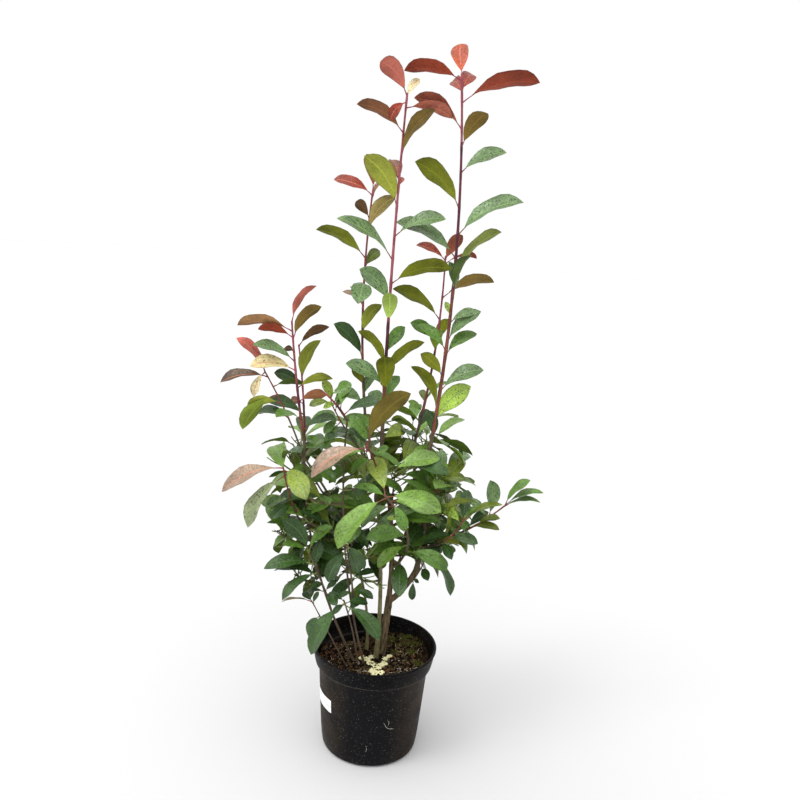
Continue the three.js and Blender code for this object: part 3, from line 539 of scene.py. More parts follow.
sprayRule = {
    "stemRadii": (2.1, 1.2), "sideRadii": (1.5, 1.1), "fineRadii": (1.1, 0.8),
    "stemLeaves": 5, "sideLeaves": 4, "fineLeaves": 3, "thickLeaves": 5,
    "firstLeaf": 0.4, "fineFirstLeaf": 0.3,  # how far up its twig
    "sideTwigs": ((0.4, 1, 0.6), (0.74, -1, 0.5)),  # how far up, which hand, share of its length
    "fineLength": 30, "fineLeaf": 0.85, "thickBelow": 350,
}


def heading(turn, lift):
    flat = cos(radians(lift))
    return Vector((flat * cos(radians(turn)), flat * sin(radians(turn)), sin(radians(lift))))


def twigOf(start, turn, lift, length, radii, spin):
    end = start + heading(turn, lift) * length
    return {"line": BowedLine(start, end, (0, 0, -0.07 * length)), "radii": radii, "spin": spin}


def spiralLeaves(twig, count, first, size, random, tones):
    # leaves round a twig by the spiral rule, hanging a little by their own weight
    line, leaves = twig["line"], []
    for i in range(count):
        t = first + (1 - first) * i / (count - 1)
        along = line.along(t)
        side = (line.guide - along * line.guide.dot(along)).normalized()
        third = side.cross(along)
        spin = radians(plant["spiralTurn"] * i + 360 * twig["spin"] + 24 * next(random))
        spread = radians(plant["tipSpread" if t > 0.98 else "leafSpread"] + 14 * next(random))
        out = along * cos(spread) + side * (sin(spread) * cos(spin)) + third * (sin(spread) * sin(spin))
        root = line.at(min(t, 0.985))
        leafTurn = atan2(out.y, out.x)
        outward = atan2(root.y, root.x - crown["middle"])
        leaves.append({
            "root": root, "turn": degrees(leafTurn),
            "lift": 0.7 * degrees(asin(max(-1, min(1, out.z)))) - plant["leafDroop"],
            "length": size * (0.84 + 0.3 * next(random)),
            "roll": 34 * sin(leafTurn - outward) + 30 * (next(random) - 0.5),
            "tone": tones[i % len(tones)],
        })
    return leaves


def sprayTones(height, draws):
    # darker leaves low down and lighter ones higher up, dealt out spray by spray; the top share's
    # light yellow-greens are partly painted sunlight shining through the leaves
    toneHeight = (height - 260) / 260 + 0.6 * (next(draws) - 0.5)
    # painted light: the lightest tones stand in part for sunlight shining through the leaves
    if toneHeight > 0.7:
        return ("bright", "yellowGreen", "green", "bright", "greyGreen")
    if toneHeight > 0.35:
        return ("bright", "olive", "green", "deepGreen", "bright")
    return ("deepGreen", "dark", "green", "dark", "deepGreen")


def growSpray(row, seed):
    on, height, turn, lift, length = row
    random, draws = seededNumbers(seed), seededNumbers(seed + 300)
    foot = limbLines[on].at(limbLines[on].reach(height))
    stem = twigOf(foot, turn, lift, length, sprayRule["stemRadii"], next(random))
    twigs = [stem]
    for t, hand, share in sprayRule["sideTwigs"]:
        foot, sideTurn = stem["line"].at(t), turn + hand * (44 + 16 * next(random))
        sideLift = lift + 12 * next(random)
        twigs.append(twigOf(foot, sideTurn, sideLift, length * share, sprayRule["sideRadii"], next(random)))
    tones = sprayTones(height, draws)
    leaves = []
    for i, twig in enumerate(twigs):
        count, turned = sprayRule["sideLeaves" if i else "stemLeaves"], tones[i:] + tones[:i]
        leaves += spiralLeaves(twig, count, sprayRule["firstLeaf"], plant["lowLeaf"], random, turned)
    # the finer twigs that the solids leave out, most of them low down
    thick = height < sprayRule["thickBelow"]
    fineLength, fineLeaf = sprayRule["fineLength"], sprayRule["fineLeaf"] * plant["lowLeaf"]
    count, turned = sprayRule["thickLeaves" if thick else "fineLeaves"], tones[1:] + tones[:1]
    for i, twig in enumerate(list(twigs)):
        sides = ((0.35, -1), (0.7, 1)) if i == 0 else ((0.6, 1),)
        for t, hand in sides + (((0.15, 1), (0.9, -1)) if thick else ()):
            foot, fineTurn = twig["line"].at(t), turn + hand * (50 + 40 * next(draws)) + (i - 1) * 20
            fineLift = lift + 40 * (next(draws) - 0.5)
            twigs.append(twigOf(foot, fineTurn, fineLift, fineLength, sprayRule["fineRadii"], next(draws)))
            leaves += spiralLeaves(twigs[-1], count, sprayRule["fineFirstLeaf"], fineLeaf, draws, turned)
    return twigs, leaves


def growShoot(shoot, seed):
    # its leaves are marked, as the photograph shows them, and aren't tested for room
    random = seededNumbers(seed)
    start = shoot.get("from")
    if not start:
        parent = limbLines[shoot["on"]]
        t = parent.reach(shoot["height"]) if "height" in shoot else 1 - 3 / parent.span
        start = parent.at(t)
    line = BowedLine(start, shoot["to"], shoot["sag"])
    leaves = []
    for height, turn, length, lift, roll, tone, *curl in shoot["leaves"]:
        leaves.append({
            "root": line.at(min(line.reach(height), 0.995)), "turn": turn, "lift": lift, "length": length,
            "roll": roll + 8 * (next(random) - 0.5), "tone": tone, "marked": True,
            "curl": curl[0] if curl else plant["leafCurl"],
        })
    return {"line": line, "radii": shoot["radii"]}, leaves


blade = {
    "width": 0.40,         # of the leaf's length with its stalk
    "stalk": 0.13,
    "fold": 20,            # degrees that each half rises from the midrib
    "wave": 0.018,         # of its length
    "thickness": 0.45,     # millimetres
    "rows": (0, 0.06, 0.15, 0.28, 0.42, 0.56, 0.69, 0.8, 0.89, 0.95, 1),
    "widths": (0, 0.14, 0.38, 0.67, 0.89, 1, 0.98, 0.83, 0.56, 0.28, 0),
    "acrossUpper": (-1, -0.5, -0.045, 0.045, 0.5, 1),
    "acrossUnder": (-1, 0, 1),
}


def pointsAndFaces(form):
    form.verts.index_update()
    points = np.array([vert.co for vert in form.verts])
    faces = [[vert.index for vert in face.verts] for face in form.faces]
    form.free()
    return points, faces


def leafPattern():
    # a blade as a flat grid of place across, place along and side, closed at its rim
    mesh = bmesh.new()
    rows = blade["rows"]
    last = len(rows) - 1
    for across, layer in ((blade["acrossUpper"], 1), (blade["acrossUnder"], -1)):
        columns = len(across) - 1
        grid = bmesh.ops.create_grid(mesh, x_segments=columns, y_segments=last, size=1)["verts"]
        for vert in grid:
            column, row = round((vert.co.x + 1) / 2 * columns), round((vert.co.y + 1) / 2 * last)
            ends = row in (0, last)
            u = 0 if ends else across[column]
            vert.co = (u, rows[row], 0 if ends or abs(u) == 1 else layer)
        if layer < 0:
            under = {face for vert in grid for face in vert.link_faces}
            bmesh.ops.reverse_faces(mesh, faces=list(under))
    bmesh.ops.remove_doubles(mesh, verts=mesh.verts, dist=0.0001)
    bmesh.ops.dissolve_degenerate(mesh, edges=mesh.edges, dist=0.0001)
    points, faces = pointsAndFaces(mesh)
    roles = []
    for face in faces:
        across, _, layer = points[face].T
        roles.append("under" if layer.min() < 0 else "rib" if np.abs(across).max() < 0.1 else "upper")
    return points, faces, roles


def arcAt(leaf, t):
    # a point on the leaf's middle line, which arches over as it goes out
    curl = radians(leaf.get("curl", plant["leafCurl"]))
    rise = radians(leaf["lift"]) + curl / 2
    arc = leaf["length"] * (curl / 2) / sin(curl / 2)
    slope = rise - curl * t
    distance = (sin(rise) - np.sin(slope)) * arc / curl
    height = (np.cos(slope) - cos(rise)) * arc / curl
    return slope, distance, height


def leafPoints(leaf, pattern):
    u, s, layer = pattern[:, 0], pattern[:, 1], pattern[:, 2]
    turn = radians(leaf["turn"])
    out = np.array((cos(turn), sin(turn), 0))
    across = np.array((-sin(turn), cos(turn), 0))
    up = np.array((0, 0, 1))
    slope, distance, height = arcAt(leaf, blade["stalk"] + (1 - blade["stalk"]) * s)
    roll = np.radians(leaf["roll"] + leaf["twist"] * (s - 0.4))
    face = np.outer(np.cos(slope), up) - np.outer(np.sin(slope), out)
    side = across * np.cos(roll)[:, None] + face * np.sin(roll)[:, None]
    normal = face * np.cos(roll)[:, None] - across * np.sin(roll)[:, None]
    half = leaf["length"] * blade["width"] / 2 * np.interp(s, blade["rows"], blade["widths"])
    fold = radians(leaf["fold"])
    bend = leaf["bend"] * leaf["length"] * np.sin(pi * s)
    ripple = np.sin(2 * pi * (1.7 * s + leaf["phase"]) + 1.4 * np.sign(u))
    wave = blade["wave"] * leaf["length"] * np.abs(u) * np.sin(pi * s) * ripple
    rise = np.abs(u) * half * sin(fold) * (1.25 - 0.5 * np.abs(u)) + wave + layer * blade["thickness"] / 2
    points = np.array(leaf["root"]) + np.outer(distance, out) + np.outer(height, up)
    return points + side * (u * half * cos(fold) + bend)[:, None] + normal * rise[:, None]


class LeafRoom:
    # remembers where leaves are, so that a finer leaf that would meet one is skipped
    def __init__(self, cell, clearance):
        self.cell, self.clearance, self.taken = cell, clearance, {}

    def key(self, point):
        return tuple(int(value // self.cell) for value in point)

    def near(self, point):
        x, y, z = self.key(point)
        for i, j, k in np.ndindex(3, 3, 3):
            yield from self.taken.get((x + i - 1, y + j - 1, z + k - 1), ())

    def free(self, points):
        for point in points:
            if any(np.abs(other - point).sum() < self.clearance for other in self.near(point)):
                return False
        return True

    def add(self, points):
        for point in points:
            self.taken.setdefault(self.key(point), []).append(point)


class Joined:
    # many small shapes gathered into one mesh
    def __init__(self):
        self.points, self.faces, self.finishes, self.places, self.total = [], [], [], [], 0

    def add(self, points, faces, finishes, places=None):
        self.points.append(np.asarray(points, dtype=float))
        self.faces += [[corner + self.total for corner in face] for face in faces]
        self.finishes += finishes
        if places is not None:
            self.places.append(places)
        self.total += len(points)

    def build(self, name, materials, slot, nodes):
        mesh = bpy.data.meshes.new(name)
        mesh.from_pydata((np.concatenate(self.points) * mm).tolist(), [], self.faces)
        for material in materials:
            mesh.materials.append(material)
        mesh.polygons.foreach_set("material_index", self.finishes)
        if self.places:
            corners = np.zeros(len(mesh.loops), dtype=np.int32)
            mesh.loops.foreach_get("vertex_index", corners)
            layer = mesh.uv_layers.new(name="leafPlace")
            layer.data.foreach_set("uv", np.concatenate(self.places)[corners].ravel())
        finishPiece(mesh, name, slot, nodes)


def addObject(name, data):
    thing = bpy.data.objects.new(name, data)
    bpy.context.collection.objects.link(thing)
    return thing


def meshFrom(form, name, *materials):
    mesh = bpy.data.meshes.new(name)
    form.to_mesh(mesh)
    form.free()
    for material in materials:
        mesh.materials.append(material)
    return mesh


def appliedMesh(blank, material, *helpers):
    # the blank's mesh with its modifiers carried out; blank and helpers are thrown away
    graph = bpy.context.evaluated_depsgraph_get()
    mesh = bpy.data.meshes.new_from_object(blank.evaluated_get(graph))
    for thing in (blank, *helpers):
        bpy.data.objects.remove(thing)
    mesh.materials.clear()
    mesh.materials.append(material)
    return mesh


def finishPiece(mesh, name, slot, nodes, smooth=True, sharpFrom=60):
    mesh.polygons.foreach_set("use_smooth", [smooth] * len(mesh.polygons))
    mesh.set_sharp_from_angle(angle=radians(sharpFrom))
    piece = addObject(name, mesh)
    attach(piece, "root")
    if nodes:
        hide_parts(*nodes)


def tube(joined, points, radii, sides, finishes):
    # a closed tube; finishes holds one for each stretch between two points
    count = len(points)
    rings, guide = [], Vector((1, 0, 0))
    for i, point in enumerate(points):
        ahead = (points[min(i + 1, count - 1)] - points[max(i - 1, 0)]).normalized()
        if abs(guide.dot(ahead)) > 0.9:
            guide = Vector((0, 1, 0.3))
        side = (guide - ahead * guide.dot(ahead)).normalized()
        third = ahead.cross(side)
        guide = side
        for k in range(sides):
            angle = 2 * pi * k / sides
            rings.append(point + side * (radii[i] * cos(angle)) + third * (radii[i] * sin(angle)))
    faces, marks = [], []
    for i in range(count - 1):
        for k in range(sides):
            a, b = i * sides + k, i * sides + (k + 1) % sides
            faces.append([a, b, b + sides, a + sides])
            marks.append(finishes[min(i, len(finishes) - 1)])
    faces.append(list(range(sides))[::-1])
    faces.append([(count - 1) * sides + k for k in range(sides)])
    marks += [finishes[0], finishes[-1]]
    joined.add([tuple(point) for point in rings], faces, marks)


pattern, patternFaces, patternRoles = leafPattern()
patternPlaces = np.column_stack(((pattern[:, 0] + 1) / 2, pattern[:, 1]))
patternSamples = np.array([(0, 0.3, 0), (0, 0.6, 0), (0, 0.95, 0), (-0.8, 0.5, 0), (0.8, 0.5, 0)])
leafRoom = LeafRoom(9, 10.5)
stems = Joined()
stalks = Joined()
# low on the plant these tones turn darker: the tone that one turns to, and below what height
lowDarkTones = {"greyGreen": ("deepGreen", 400), "bright": ("green", 350), "green": ("deepGreen", 335)}


def hasRoom(samples):
    # within the crown, above the pot and clear of the leaves already there
    height = samples[:, 2].mean()
    far = max(np.abs(samples[:, 0] - crown["middle"]).max(), np.abs(samples[:, 1]).max())
    breadth = crown["radius"] * np.interp(height, crown["heights"], crown["shares"])
    front = np.interp(height, crown["frontHeights"], crown["frontDepths"])
    inside = far <= breadth and samples[:, 1].min() >= -front and samples[:, 2].min() >= crown["lowest"]
    return inside and leafRoom.free(samples)


def placeLeaf(joined, leaf, shapeDraws):
    leaf["fold"] = blade["fold"] + 16 * (next(shapeDraws) - 0.5)
    leaf["twist"] = 34 * (next(shapeDraws) - 0.5)
    leaf["bend"] = 0.05 * (next(shapeDraws) - 0.5)
    leaf["phase"] = next(shapeDraws)
    samples = leafPoints(leaf, patternSamples)
    if not leaf.get("marked") and not hasRoom(samples):
        return
    leafRoom.add(samples)
    lowTone, below = lowDarkTones.get(leaf["tone"], (leaf["tone"], 0))
    if leaf["root"].z < below:
        leaf["tone"] = lowTone
    tone = toneNames.index(leaf["tone"])
    rib = redRib if leaf["tone"] in redTones else darkRib if leaf["tone"] in darkTones else greenRib
    finishOf = {"upper": tone, "under": tone + len(toneNames), "rib": rib}
    marks = [finishOf[role] for role in patternRoles]
    joined.add(leafPoints(leaf, pattern), patternFaces, marks, patternPlaces)
    placeStalk(leaf)


def placeStalk(leaf):
    out = heading(leaf["turn"], 0)
    points = []
    for i in range(4):  # it reaches a little way under the blade
        _, distance, height = arcAt(leaf, (blade["stalk"] + 0.05) * i / 3)
        points.append(leaf["root"] + out * float(distance) + Vector((0, 0, float(height) - 0.25)))
    young = leaf.get("marked") and leaf["root"].z > 400
    finish = crimson if leaf["tone"] in redTones else redBrown if young else greenish
    tube(stalks, points, (1.3, 0.95, 0.8, 0.55), 5, [finish])


# length of a stretch and number of sides
stemShapes = {"leader": (9, 9), "shoot": (7, 7), "spray": (7, 5)}
# how far up a leader, and the rind it has up to there
rindSpans = {
    "tall_right_leader": ((0.12, brown), (0.48, redBrown), (0.84, maroon), (1, crimson)),
    "tall_middle_leader": ((0.1, brown), (0.28, redBrown), (0.38, maroon), (1, crimson)),
    "others": ((0.14, brown), (0.32, redBrown), (0.48, maroon), (1, crimson)),
}


def placeStem(twig, leaves, kind, name=None):
    # a stem swells by up to a fifth at each leaf's foot
    line, radii = twig["line"], twig["radii"]
    stretch, sides = stemShapes[kind]
    steps = max(4, int(line.span / stretch))
    knots = [line.reach(leaf["root"].z) for leaf in leaves]
    points, sizes = [], []
    for i in range(steps + 1):
        t = i / steps
        swell = sum(exp(-((t - knot) * line.span / 3.5) ** 2) for knot in knots)
        points.append(line.at(t))
        sizes.append((radii[0] + (radii[1] - radii[0]) * t) * (1 + 0.22 * min(swell, 1)))
    points.append(line.at(1) + line.along(1) * 1.5)
    sizes.append(sizes[-1] * 0.35)
    if kind == "leader":
        spans = rindSpans.get(name, rindSpans["others"])
        marks = [next(rind for upTo, rind in spans if i <= upTo * steps) for i in range(steps)]
        marks.append(crimson)
    elif kind == "shoot":
        woody = 1 if line.foot.z < 330 else 0.5
        marks = [brown if i < woody * steps else redBrown for i in range(steps + 1)]
    else:
        marks = [brown if radii[0] > 2 else greenish]
    tube(stems, points, sizes, sides, marks)


def growLeafPieces():
    grown = []
    marked = (
        ("leader", leaders, 1, "young_red_foliage"),
        ("shoot", sideShoots, 1 + len(leaders), "green_foliage"),
    )
    for kind, rows, firstSeed, slot in marked:
        joined = Joined()
        for seed, (name, shoot) in enumerate(rows.items(), firstSeed):
            stem, leaves = growShoot(shoot, seed)
            placeStem(stem, leaves, kind, name)
            shapeDraws = seededNumbers(900 + seed)
            for leaf in leaves:
                placeLeaf(joined, leaf, shapeDraws)
        joined.build(kind + "Leaves", leafFinishes, slot, list(rows))
        grown.append((kind, joined.total // len(pattern)))
    joined = Joined()
    shapes = [growSpray(row, 41 + i) for i, row in enumerate(sprays.values())]
    for i, (twigs, leaves) in enumerate(shapes):
        shapeDraws = seededNumbers(700 + i)
        for twig in twigs:
            placeStem(twig, (), "spray")
        for leaf in leaves:
            placeLeaf(joined, leaf, shapeDraws)
    joined.build("sprayLeaves", leafFinishes, "green_foliage", list(sprays))
    grown.append(("spray", joined.total // len(pattern)))
    masses = [*leaders, *sideShoots, *sprays]
    stems.build("leafyStems", stemFinishes, "bark", masses)
    stalks.build("leafStalks", stemFinishes, "green_foliage", masses)
    print("leaves placed:", grown)


growLeafPieces()


def bentLimb(row, sides, rings, relief):
    # a cone cut into rings, bent along its line, with the bark's low ridges
    line, radii, flare = BowedLine(*row[:3]), row[3], row[4]
    mesh = bmesh.new()
    bmesh.ops.create_cone(mesh, cap_ends=True, segments=sides, radius1=1, radius2=1, depth=1)
    uprights = [edge for edge in mesh.edges if abs(edge.verts[0].co.z - edge.verts[1].co.z) > 0.5]
    bmesh.ops.subdivide_edges(mesh, edges=uprights, cuts=rings - 1, use_grid_fill=True)
    for vert in mesh.verts:
        t = vert.co.z + 0.5
        along = line.along(t)
        side = (line.guide - along * line.guide.dot(along)).normalized()
        third = side.cross(along)
        centre = line.at(t)
        around = side * vert.co.x + third * vert.co.y
        ridge = noise.noise(Vector((around.x * 3.1, around.y * 3.1, centre.z / 16)) + centre * 0.01)
        knob = noise.noise(centre * 0.09 + around)
        size = radii[0] + (radii[1] - radii[0]) * t + flare * exp(-12 * t)
        vert.co = centre + around * (size * (1 + relief * (0.7 * ridge + 0.5 * knob)))
    return mesh


def makeLimbs():
    nodes = [name for name in limbs if name != "trunk"]
    joined = Joined()
    for name in nodes:
        points, faces = pointsAndFaces(bentLimb(limbs[name], 12, 60, 0.14))
        joined.add(points, faces, [limbs[name][5]] * len(faces))
    joined.build("boughsAndStems", stemFinishes, "bark", nodes)
    # the trunk and the two arms of its fork get one skin
    whole = bmesh.new()
    for row in (limbs["trunk"], *trunkArms):
        arm = meshFrom(bentLimb(row, 24, 60, 0.16), "arm")
        whole.from_mesh(arm)
        bpy.data.meshes.remove(arm)
    whole.transform(Matrix.Scale(mm, 4))
    blank = addObject("trunkBlank", meshFrom(whole, "arms"))
    remesh = blank.modifiers.new("join", "REMESH")
    remesh.mode, remesh.voxel_size = "VOXEL", 0.7 * mm
    ease = blank.modifiers.new("ease", "SMOOTH")
    ease.iterations, ease.factor = 4, 0.6
    trunk = appliedMesh(blank, stemFinishes[bark])
    finishPiece(trunk, "trunkAndFork", "bark", ["trunk"])
    print("limbs made, trunk faces:", len(trunk.polygons))


makeLimbs()


potSizes = {
    "rimRadius": 100, "height": 175, "collarFoot": 146, "wallTopRadius": 88.2,
    "middleRadius": 80.2, "baseRadius": 76.8, "wall": 2,
    "drainSlots": 8, "slotSize": (14, 10, 7), "steps": 96,
}


def potFinish():
    # moulded black polypropylene: a fine dull grain, dust specks, soil dried on its two sides
    # and a pale line along the foot of the collar, partly dust and partly a painted highlight of its lower
    # edge
    finish, tree, shader, spot = blankFinish("mouldedPolypropylene", gloss=0.06, ior=1.49)
    grain = patchMask(tree, spot, 0.0012, 0.4, 0.66, 2)
    specks = patchMask(tree, spot, 0.0017, 0.69, 0.73, 1)
    film = patchMask(tree, spot, 0.045, 0.4, 0.75, 5)
    axes = addNode(tree, "SeparateXYZ", spot)
    collarFoot = potSizes["collarFoot"] * mm
    below = addNode(tree, "MapRange", axes.outputs[2], collarFoot + 0.0005, collarFoot - 0.0005)
    sideways = addNode(tree, "Math", axes, operation="ABSOLUTE")
    sideways = addNode(tree, "MapRange", sideways, 0.03, 0.078)
    smear = addNode(tree, "Math", below, 0.65, 0.25, operation="MULTIPLY_ADD")
    smear = addNode(tree, "Math", smear, sideways, operation="MULTIPLY")
    smear = addNode(tree, "Math", smear, patchMask(tree, spot, 0.03, 0.3, 0.56, 5), operation="MULTIPLY")
    # a pale patchy line along the foot of the collar: partly dust, partly a painted highlight where its
    # lower edge catches the light
    offLine = addNode(tree, "Math", axes.outputs[2], collarFoot + 0.0008, operation="SUBTRACT")
    offLine = addNode(tree, "Math", offLine, operation="ABSOLUTE")
    dustAndEdgeHighlight = addNode(tree, "MapRange", offLine, 0.0014, 0.0006)
    dustAndEdgeHighlight = addNode(tree, "Math", dustAndEdgeHighlight, patchMask(tree, spot, 0.02, 0.25, 0.5), operation="MULTIPLY")
    base = layOver(tree, below, "#050507", "#0f0f11")
    base = layOver(tree, film, base, "#141418", 0.5)
    base = layOver(tree, grain, base, "#060606", 0.35)
    base = layOver(tree, smear, base, "#30261b")
    # dust and painted highlight along the collar's foot
    base = layOver(tree, dustAndEdgeHighlight, base, "#5c554c", 0.45)
    base = layOver(tree, specks, base, "#86837c", 0.45)
    dull = addNode(tree, "Math", film, 0.18, 0.4, operation="MULTIPLY_ADD")
    tree.links.new(dull.outputs[0], shader.inputs["Roughness"])
    feedShader(tree, shader, base, (grain, 0.0002), (film, 0.0006))
    return finish


def spun(profile, steps):
    # a profile of radius and height, from axis to axis, turned about the upright axis
    mesh = bmesh.new()
    verts = [mesh.verts.new((radius * mm, 0, height * mm)) for radius, height in profile]
    edges = [mesh.edges.new(pair) for pair in zip(verts, verts[1:])]
    bmesh.ops.spin(mesh, geom=verts + edges, cent=(0, 0, 0), axis=(0, 0, 1), angle=2 * pi, steps=steps,
                   use_merge=True)
    bmesh.ops.remove_doubles(mesh, verts=mesh.verts, dist=0.00002)
    bmesh.ops.recalc_face_normals(mesh, faces=mesh.faces)
    return mesh


def makePot():
    # its wall's profile, up the outside and down the inside, then slots cut round its foot
    p = potSizes
    foot, wall, top = p["collarFoot"], p["wall"], p["height"]
    outside = [
        (0, 0), (69, 0), (71.5, 0.3), (74, 2), (75.8, 3.6), (p["baseRadius"], 6), (78.4, 16),
        (p["middleRadius"], 33), (81.6, 52), (84.2, 90), (86.4, 120),
        (p["wallTopRadius"], foot - 0.8), (88.8, foot), (93, foot), (93.8, foot + 0.5), (94.3, foot + 2),
        (96.4, 158), (98.3, 168.6), (98.6, 170.4), (99.6, 171),
        (p["rimRadius"], 172), (p["rimRadius"], 173.8), (99.4, 174.7), (98.4, top),
    ]
    inside = [
        (97.2, top), (96.4, 174.6), (96, 173.6), (94.4, 164), (92.9, 154.5), (92.2, 152),
        (91.2, 150.8), (88.4, 149.6), (87.4, 148.6), (86.6, 146.6), (86.2, 145.5), (85.6, 143),
        (84.4, 126), (82.4, 92), (79.8, 52),
        (p["middleRadius"] - wall, 33), (p["baseRadius"] - wall - 1, 8), (68, 4), (0, 4),
    ]
    slots = bmesh.new()
    across, deep, tall = p["slotSize"]
    block = Matrix.Rotation(-0.4, 4, "X") @ Matrix.Diagonal((across * mm, deep * mm, tall * mm, 1))
    for i in range(p["drainSlots"]):
        cube = bmesh.ops.create_cube(slots, size=1)["verts"]
        turn = Matrix.Rotation(2 * pi * (i + 0.1) / p["drainSlots"], 4, "Z")
        place = turn @ Matrix.Translation((0, -76 * mm, 0)) @ block
        bmesh.ops.transform(slots, matrix=place, verts=cube)
    blank = addObject("potBlank", meshFrom(spun(outside + inside, p["steps"]), "moulding"))
    cutter = addObject("slotCutter", meshFrom(slots, "slotBlocks"))
    cut = blank.modifiers.new("slots", "BOOLEAN")
    cut.object, cut.operation, cut.solver = cutter, "DIFFERENCE", "EXACT"
    pot = appliedMesh(blank, potFinish(), cutter)
    finishPiece(pot, "nurseryPot", "pot", ["pot"], sharpFrom=38)
    print("pot made, faces:", len(pot.polygons))


makePot()


# a plain white sticker on the wall at the left: compass turns, heights and radii
label = {"from": 192, "to": 224, "low": 80, "high": 102, "radiusLow": 83.5, "radiusHigh": 85.1}


def makeLabel():
    mesh = bmesh.new()
    grid = bmesh.ops.create_grid(mesh, x_segments=12, y_segments=4, size=1)["verts"]
    for vert in grid:
        across, up = (vert.co.x + 1) / 2, (vert.co.y + 1) / 2
        angle = radians(label["from"] + (label["to"] - label["from"]) * across)
        height = label["low"] + (label["high"] - label["low"]) * up
        radius = label["radiusLow"] + (label["radiusHigh"] - label["radiusLow"]) * up + 0.5
        vert.co = Vector((radius * cos(angle), radius * sin(angle), height)) * mm
    bmesh.ops.recalc_face_normals(mesh, faces=mesh.faces)
    bmesh.ops.solidify(mesh, geom=mesh.faces[:], thickness=0.2 * mm)
    bmesh.ops.recalc_face_normals(mesh, faces=mesh.faces)
    paper = clumpedFinish("coatedPaper", "#e2e2e0", "#f4f4f3", 0.02, 0.5)
    finishPiece(meshFrom(mesh, "plainLabel", paper), "plainLabel", "pot", [], smooth=False)


makeLabel()


blackCrumb, brownCrumb, rustyCrumb, coir, granule, perlite, moss, fernRoot = range(8)
litterColours = (
    ("blackPeatCrumb", "#0c0906", "#1f1710", 0.002, 0.95),
    ("brownPeatCrumb", "#2a2016", "#5c4a35", 0.002, 0.95),
    ("rustyBarkCrumb", "#4a2a17", "#7a4a26", 0.003, 0.95),
    ("coirFibre", "#7d6c50", "#a8966c", 0.003, 0.95),
    ("feedGranule", "#d6d09c", "#f2edc6", 0.003, 0.8),
    ("perliteBit", "#b9b5aa", "#e2dfd6", 0.003, 0.8),
    ("cushionMoss", "#2c3410", "#66702a", 0.002, 0.9),
    ("redFernRoot", "#35241a", "#563c2c", 0.003, 0.95),
)
everywhere = ((0, 0, 85),)  # patches: middle and radius
cushions = ((66, 42, 15), (72, -14, 7), (27, 52, 10), (50, 60, 13), (33, 10, 6), (60, 16, 9), (46, 34, 8))
granuleHeaps = (
    (-18, -13, 5), (-10, -17, 6), (-2, -8, 5), (18, -10, 5), (26, -3, 4), (-3, -28, 7),
    (8, -34, 8), (17, -28, 6), (5, -43, 8), (-1, -50, 5), (12, -53, 6), (5, -60, 6),
)
compost = {
    "rings": 44, "steps": 150, "fibres": 360, "redRoots": 34, "mossShoots": 760,
    # how many, in which patches, radius from and to, flatness, lift, finishes up to which share
    "strewn": (
        (2600, everywhere, 0.7, 3.6, 0.7, 0.3, ((0.5, blackCrumb), (0.97, brownCrumb), (1, rustyCrumb))),
        (420, ((-76, 14, 20), (-70, -12, 14), (-66, 34, 14)), 1, 3.4, 0.7, 0.3,
         ((0.6, fernRoot), (1, blackCrumb))),
        (90, ((-23, 0, 9),), 0.8, 2.6, 0.5, 0.3, ((0.7, rustyCrumb), (1, brownCrumb))),
        (900, granuleHeaps, 1, 2.3, 0.8, 0.8, ((1, granule),)),
        (16, ((-58, -43, 8),), 0.8, 1.6, 0.8, 0.8, ((1, granule),)),
        (70, everywhere, 0.4, 1.2, 0.7, 0.8, ((1, perlite),)),
    ),
    "mossCrumbs": (380, cushions, 0.8, 2.6, 0.6, 0.3, ((0.5, moss), (1, brownCrumb))),
    "clod": (4, -20, 4.4, 0.8, blackCrumb, 0.7),  # place, radius, flatness, finish, lift
    "fallenStalk": (37, 15, -1.35, 20, 0.8, coir, 2),  # foot, turn, length, radius, finish, rise
    # pale wisps stuck to the front of the pot's wall: compass turn and height
    "wisps": (
        ((-74, 84), (-71.5, 77), (-69, 73), (-65, 71), (-61, 70)),
        ((-71, 90), (-68, 84), (-69, 78)),
        ((-92, 44), (-90.5, 37), (-91.5, 31)),
    ),
}


def soilHeight(x, y):
    # level round the stems, heaped at the back right and the left, sunk away at the back left
    angle = atan2(y, x)
    turn = degrees(angle)
    outer = max(0, (hypot(x, y) - 46) / 40)
    heap = 7 * exp(-((turn - 48) / 34) ** 2) * outer
    hollow = 34 * exp(-((turn - 118) / 34) ** 2) * outer * outer
    ripple = 2.2 * sin(5 * angle) * outer
    mound = 7 * exp(-(hypot(x + 76, y - 14) / 17) ** 2)
    return plant["groundLevel"] + min(heap - hollow + ripple - 1.5 * outer, 7) + mound


def soilTop(x, y):
    spot = Vector((x, y, 0))
    clods = 1.9 * noise.noise(spot / 13) + 1.2 * noise.noise(spot / 6 + Vector((7, 3, 0)))
    crumbs = 0.7 * noise.noise(spot / 2.6)
    return soilHeight(x, y) + clods + crumbs - 0.4


def soilEdge(height):
    # the compost ends just inside the wall
    return float(np.interp(height, (8, 33, 147, 160), (73.8, 78.2, 86.2, 93))) - 0.4


def makeSoil():
    rings, radius = compost["rings"], 85.4
    profile = [(0, 4.4), (67, 4.4), (73, 9), (77.4, 33.2), (84.6, 125)]
    profile += [(radius * (1 - i / rings), plant["groundLevel"]) for i in range(rings + 1)]
    mesh = spun(profile, compost["steps"])
    for vert in mesh.verts:
        x, y, z = vert.co / mm
        if z < 130:  # below the top
            continue
        top = soilTop(x, y)
        edge = soilEdge(top) / radius
        vert.co = Vector((x * edge, y * edge, top)) * mm
    peat = clumpedFinish("dampPeat", "#0b0806", "#36291c", 0.005)
    finishPiece(meshFrom(mesh, "compost", peat), "compost", "compost", ["potting_soil"])


def roundBit():
    form = bmesh.new()
    bmesh.ops.create_icosphere(form, subdivisions=1, radius=1)
    return pointsAndFaces(form)


